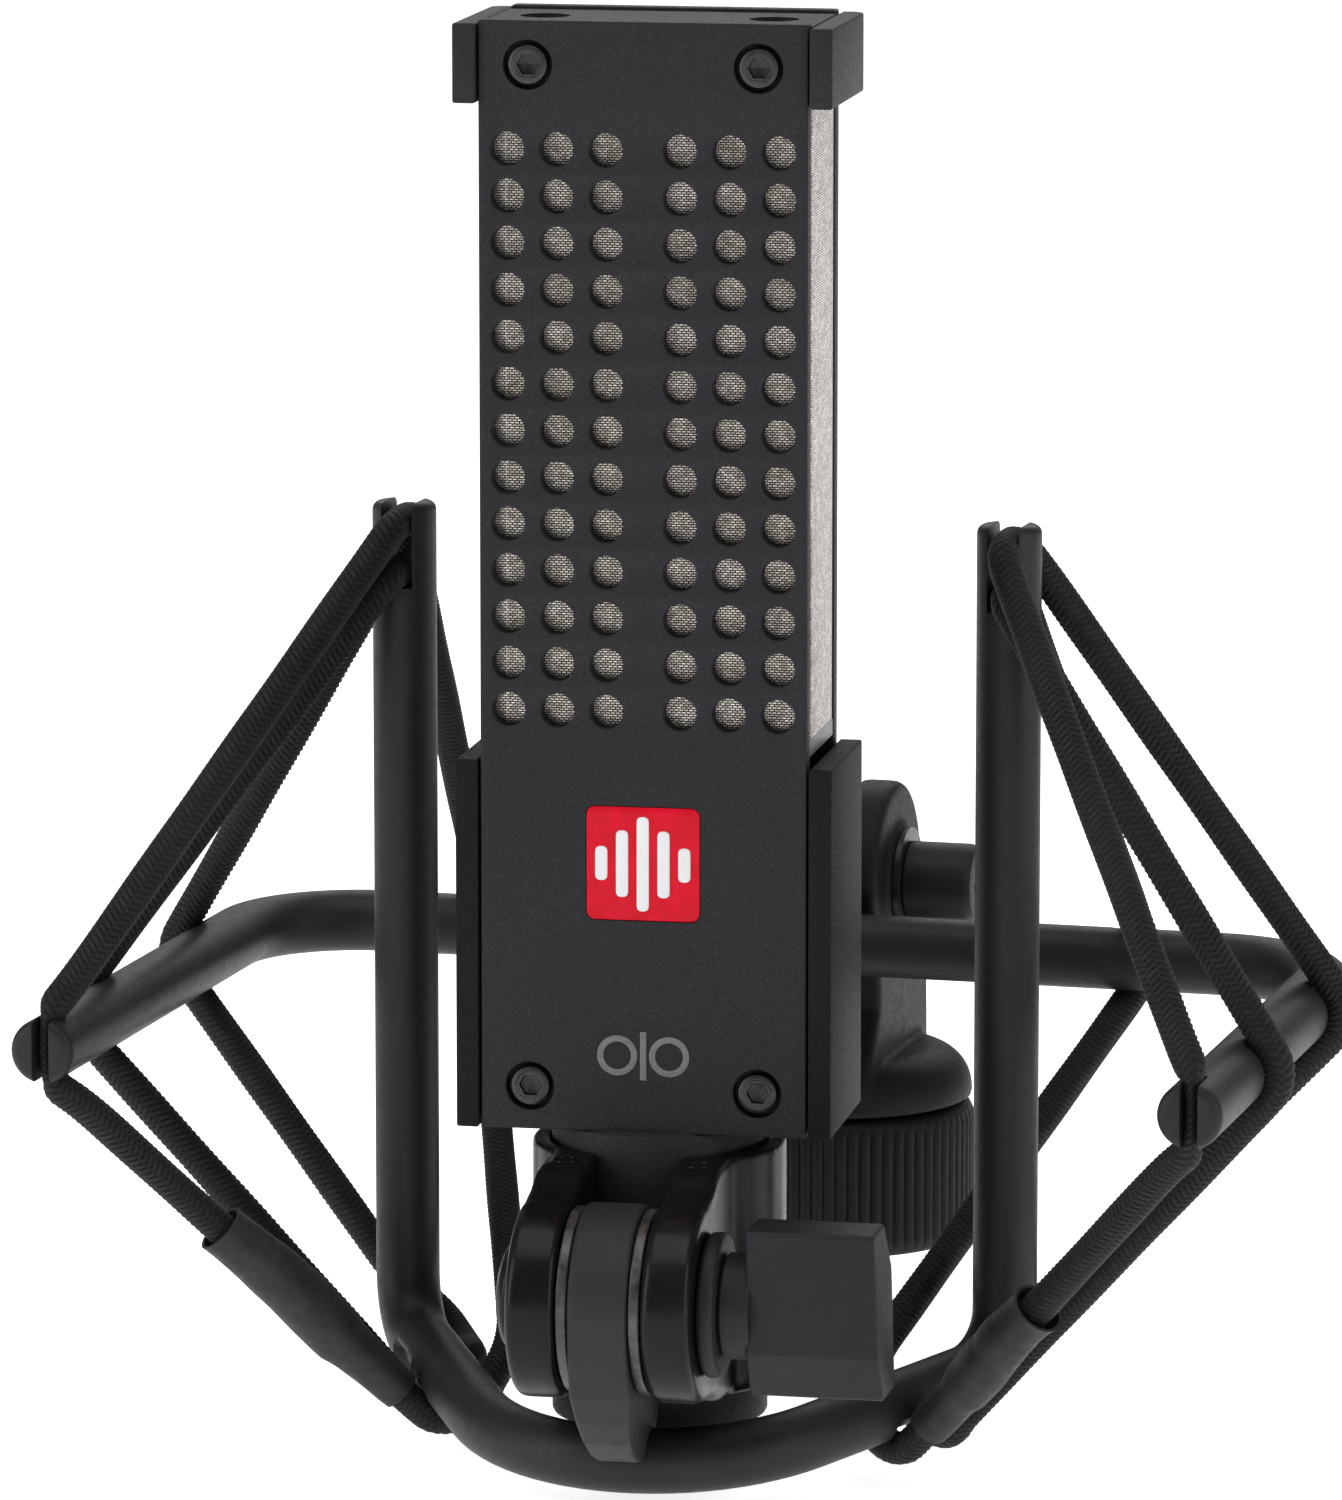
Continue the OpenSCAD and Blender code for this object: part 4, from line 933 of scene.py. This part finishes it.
start_a = bow_pt(13.8, WR, -53)
tip_in = TIP + np.array([-3.4, 2.2, -7.2])
split = start_a + 0.27 * (tip_in - start_a)
w2, w3, w4 = wrap_arm(-83, -43, 30, 4), wrap_arm(-44, 30, -41, 4), wrap_rear(44, 41, -54, 5)
wb, wa = wrap_bow(22.3, 20.6, -170, -26, 10), wrap_bow(13.8, 13.8, -155, -53, 6)
behind = [np.array(v) for v in ([41.8, -59, 4], [36, -59, -0.2], [31.3, -64.6, -3])]
by_b = bow_pt(19.6, 10.3, 172)
A = np.array
ctrl = ([split + 0.1 * unit(tip_in - start_a), tip_in, TIP + A([0, 0, -4.4]), TIP + A([0, 0, 4.4]), TIP + A([-2.2, 2.6, 7.6]),
         SLOT_U + A([1.3, -6.9, -2.6]), SLOT_U + A([0, -4.0, 0]), SLOT_U + A([0, 4.0, 0]), SLOT_U + A([1.6, 6.7, -2.8])]
        + w3 + behind + wb + w2
        + [SLOT_L + A([2.7, -6.1, -3.4]), SLOT_L + A([0, -4.0, 0]), SLOT_L + A([0, 4.0, 0]), SLOT_L + A([0.3, 6.8, -3.0])]
        + w4 + [by_b] + wa + [split - 0.1 * unit(tip_in - start_a)])


def rounded(points, most=5.0, step=0.205):
    """The route with its corners turned into short bends, then points at an even spacing."""
    out = [points[0]]
    for i in range(1, len(points) - 1):
        p, a, b = points[i], points[i - 1], points[i + 1]
        la, lb = np.linalg.norm(a - p), np.linalg.norm(b - p)
        d1, d2 = min(most, 0.46 * la), min(most, 0.46 * lb)
        s, e = p + (a - p) / la * d1, p + (b - p) / lb * d2
        for k in range(9):
            t = k / 8
            out.append((1 - t) ** 2 * s + 2 * t * (1 - t) * p + t * t * e)
    out.append(points[-1])
    out = np.array(out)
    seg = np.linalg.norm(np.diff(out, axis=0), axis=1)
    keep = np.concatenate([[True], seg > 1e-6])
    out = out[keep]
    cum = np.concatenate([[0], np.cumsum(np.linalg.norm(np.diff(out, axis=0), axis=1))])
    want = np.linspace(0, cum[-1], int(cum[-1] / step) + 1)
    return np.stack([np.interp(want, cum, out[:, k]) for k in range(3)], 1), want


def smooth_bump(d, half, soft):
    return 1.0 / (1.0 + np.exp((np.abs(d) - half) / soft))


def braid(points, radius=2.1, around=32, carriers=8, pitch=6.6, relief=0.26, seed=1):
    """Braided cover as real relief: two families of yarn, each passing over two and under two of the other."""
    P, s = rounded(points)
    tn, U, V = frames_along(P)
    m, n = len(P), around
    phi = np.arange(n) / n
    kappa = carriers / pitch
    a = carriers * phi[None, :] + kappa * s[:, None]
    b = carriers * phi[None, :] - kappa * s[:, None]
    ia, jb = np.floor(a), np.floor(b)
    fa, fb = a - ia, b - jb
    wave_a = np.cos(np.pi / 2 * (ia + b - 1.0))
    wave_b = -np.cos(np.pi / 2 * (a + jb - 1.0))
    ha = np.sin(np.pi * fa) ** 0.7 * (0.62 + 0.38 * wave_a)
    hb = np.sin(np.pi * fb) ** 0.7 * (0.62 + 0.38 * wave_b)
    h = np.maximum(ha, hb)
    rng = np.random.default_rng(seed)
    ta, tb = rng.random(64), rng.random(64)
    tone = np.where(ha > hb, ta[np.mod(ia, 64).astype(int)], tb[np.mod(jb, 64).astype(int)])
    wob = 0.03 * np.sin(s / 3.1 + seed) + 0.02 * np.sin(s / 7.7 + 2 * seed)
    r = (radius - relief + wob)[:, None] + relief * h
    off = np.cos(2 * np.pi * phi)[None, :, None] * U[:, None, :] + np.sin(2 * np.pi * phi)[None, :, None] * V[:, None, :]
    off = off * r[:, :, None]
    # squeezed where it lies in a slot: narrow across the slot, long in the slot's depth
    near_tip = smooth_bump(P[:, 2] - BAR_Z, 4.2, 0.45) * (P[:, 1] < TIP_Y + 5.5)
    near_post = smooth_bump(P[:, 1] - FOOT_Y, 4.2, 0.4) * (P[:, 2] > POST_TOP - 14)
    sx = 1 - 0.53 * near_tip - 0.12 * near_post
    sy = 1 + 0.10 * near_tip
    off[:, :, 0] *= sx[:, None]
    off[:, :, 1] *= sy[:, None]
    verts = (P[:, None, :] + off).reshape(-1, 3)
    idx = np.arange(m * n).reshape(m, n)
    q = np.stack([idx[:-1], np.roll(idx, -1, 1)[:-1], np.roll(idx, -1, 1)[1:], idx[1:]], -1).reshape(-1, 4)
    faces = [tuple(f) for f in q.tolist()]
    verts = np.vstack([verts, P[:1], P[-1:]])
    for i in range(n):
        faces.append(((i + 1) % n, i, m * n))
        faces.append(((m - 1) * n + i, (m - 1) * n + (i + 1) % n, m * n + 1))
    yarn = np.concatenate([np.clip(h, 0, 1).ravel(), [0, 0]])
    tv = np.concatenate([tone.ravel(), [0, 0]])
    return new_mesh("braid", verts, faces, None, {"yarn": yarn, "tone": tv})


def shrink_sleeve(t1, seed, wide):
    """Shrunk rubber tube over the joint: open, flared mouth towards the tip, lumpy middle, a stepped tail."""
    a = start_a + 0.07 * (tip_in - start_a)
    b = start_a + t1 * (tip_in - start_a)
    L = np.linalg.norm(b - a)
    n, m = 40, 64
    rng = np.random.default_rng(seed)
    ph = rng.random(12) * 6.283
    t = np.linspace(0, 1, m)
    base = np.interp(t, [0, 0.05, 0.14, 0.26, 0.33, 0.5, 0.72, 0.86, 0.95, 1.0], [2.55, 2.68, 2.74, 2.92, 3.42, 3.62, 3.5, 3.22, 3.2, 3.3 + wide])
    P = a + (b - a) * t[:, None]
    tn, U, V = frames_along(P)
    P = P + U * (0.35 * np.sin(np.pi * t))[:, None] - V * (0.25 * np.sin(2 * np.pi * t))[:, None]
    phi = np.linspace(0, 2 * np.pi, n, endpoint=False)
    lump = np.zeros((m, n))
    for k in range(4):
        lump += 0.10 / (k + 1) * np.sin((k + 1) * phi[None, :] + ph[k] + 5 * t[:, None]) * np.sin((k + 2) * 3.0 * t[:, None] + ph[k + 4])
    crease = 0.10 * np.exp(-((t - 0.3) / 0.02) ** 2) + 0.07 * np.exp(-((t - 0.62) / 0.025) ** 2) + 0.05 * np.exp(-((t - 0.8) / 0.02) ** 2)
    oval = 0.24 * np.cos(2 * phi[None, :] + ph[9]) * np.sin(np.pi * t)[:, None]
    r = np.maximum(base[:, None] + lump - crease[:, None] * (1 + np.sin(phi[None, :] + ph[8])) + oval, 2.32)
    ring = np.cos(phi)[None, :, None] * U[:, None, :] + np.sin(phi)[None, :, None] * V[:, None, :]
    outer = P[:, None, :] + ring * r[:, :, None]
    depth = 7
    inner_r = np.minimum(r[-depth:][::-1] - 0.38, 99)
    inner_r = np.maximum(inner_r, 2.15)
    inner = P[-depth:][::-1][:, None, :] + ring[-depth:][::-1] * inner_r[:, :, None]
    body = np.vstack([outer.reshape(-1, 3), inner.reshape(-1, 3)])
    rows = m + depth
    faces = [(j * n + i, j * n + (i + 1) % n, (j + 1) * n + (i + 1) % n, (j + 1) * n + i) for j in range(rows - 1) for i in range(n)]
    body = np.vstack([body, P[:1], P[-depth:][:1]])
    for i in range(n):
        faces.append(((i + 1) % n, i, rows * n))
        faces.append(((rows - 1) * n + i, (rows - 1) * n + (i + 1) % n, rows * n + 1))
    return new_mesh("sleeve", body, faces)


for s, nm in ((1, "right"), (-1, "left")):
    mir = Matrix.Identity(4) if s > 0 else MIRROR
    o = put("elastic_braid_" + nm, braid(ctrl, seed=3 if s > 0 else 8), mir, M["cord"], None, (), angle=180, recalc=False)
    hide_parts("elastic_" + nm)
    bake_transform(o)
    o = put("sleeve_rubber_" + nm, shrink_sleeve(0.5 if s > 0 else 0.6, 5 if s > 0 else 11, 0.1 if s > 0 else 0.0), mir, M["sleeve"], None, (), angle=50, recalc=False)
    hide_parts("splice_sleeve_" + nm)
    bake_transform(o)

# ---------------------------------------------------------------- stand fitting
disc = rings([(18.2, 18.6)] + [(12.7 + 5.5 * math.cos(rad(a)), 19.7 + 5.5 * math.sin(rad(a))) for a in range(0, 91, 10)] + [(6.0, 25.2), (6.0, 18.6)], 96, closed=True)
tongue2 = [(13 * math.cos(rad(a)), 47.5 + 13 * math.sin(rad(a))) for a in range(0, 181, 5)]
tongue2 += [(-10.4, 40), (-10.2, 32), (-16.6, 21.6), (17.0, 21.6), (16.9, 27), (16.5, 33), (14.2, 41)]
tg = flat(tongue2, (), 17.4, 1.2, 4)
tg.transform(ALONG_X)
spig = cyl(6.0, 14, 64, 10.6)
cast_parts = [(disc, Matrix.Identity(4)), (tg, Matrix.Identity(4)), (spig, Matrix.Identity(4))]
for s in (1, -1):
    b_ = cyl(7.5, 1.5, 72, 8.0)
    cast_parts.append((b_, (Matrix.Identity(4) if s > 0 else MIRROR) @ SWIVEL @ R(90, "Y")))
bt = cyl(4.05, 50, 40)
bt.transform(T(-25, 0, 47.5) @ R(90, "Y"))
fork = cast(cast_parts, [box_mesh(-3.6, 3.6, -40, 40, 30.5, 90), bt], voxel=0.42, smooth=4)
put("swivel_casting", fork, Matrix.Identity(4), M["stand"], "swivel_body", ["swivel_base"], angle=60)

sb = rings([(0.001, 0.0), (4.0, 0.0), (4.0, 29.0), (0.001, 29.0)], 48)
hx = hexfun(4.0)
head = rings([(3.0, 10.3), (5.0, 10.3), (5.2, 10.5), (5.2, 18.2), (5.05, 18.8), (4.6, 19.3), (4.1, 19.4), (lambda a: hx(a) + 0.15, 19.4), (lambda a: hx(a), 19.25), (lambda a: hx(a), 16.6), (0.001, 16.4)], 72)
put("swivel_bolt_finished", join([(sb, T(-18, 0, 0) @ R(90, "Y")), (head, R(90, "Y"))]), SWIVEL, M["knob"], "swivel_body", ["swivel_bolt"], angle=36)
put("wing_knob_rear", wing(16.4, 31.0, 10.35, 17.0, 7.4, 1.05), SWIVEL @ MIRROR, M["knob"], "swivel_knob_body", ["swivel_knob"], angle=34)

NR, NH, RIBS = 18.5, 18.3, 72


def rib(depth, rr_=NR):
    def f(a):
        p = (a * RIBS / (2 * math.pi)) % 1.0
        return rr_ - depth * (1.0 - abs(math.sin(math.pi * p)) ** 0.8)
    return f


nut_prof = [(7.94, 0.3), (8.3, 0.0), (16.8, 0.0), (17.4, 0.15), (17.85, 0.6), (rib(0.0, 18.05), 1.0), (rib(0.2, 18.3), 1.5), (rib(0.42), 2.1), (rib(0.42), 6.0), (rib(0.42), 12.0), (rib(0.42), 16.2), (rib(0.2, 18.3), 16.8), (rib(0.0, 18.05), 17.3),
            (17.8, 17.7), (17.3, 18.1), (16.7, 18.3), (6.4, 18.3), (6.06, 18.0), (6.06, 12.0), (7.94, 12.0)]
put("knurled_nut_finished", rings(nut_prof, 720, closed=True), Matrix.Identity(4), M["stand"], "stand_nut_body", ["stand_nut"], angle=44)

# ---------------------------------------------------------------- materials on the CAD pieces that stay
KEEP = {"base_block": "alloy", "shelf_plate": "alloy", "pole_frame": "iron", "magnets": "nickel", "ribbon": "foil", "ribbon_clamps": "brass", "motor_screws": "steel",
        "transformer_core": "lamination", "transformer_coil": "copper", "transformer_bracket": "steel", "bracket_screws": "steel", "connector_insert": "insulator",
        "connector_pins": "gold", "neck_nut": "steel", "tilt_knob_insert": "brass", "swivel_knob_insert": "brass", "swivel_washers": "dark_metal", "spigot_circlip": "steel",
        "thread_adapter": "brass"}
for nme, key in KEEP.items():
    o = NODES[nme]
    if not o.material_slots:
        o.data.materials.append(M[key])
    for sl in o.material_slots:
        sl.material = M[key]
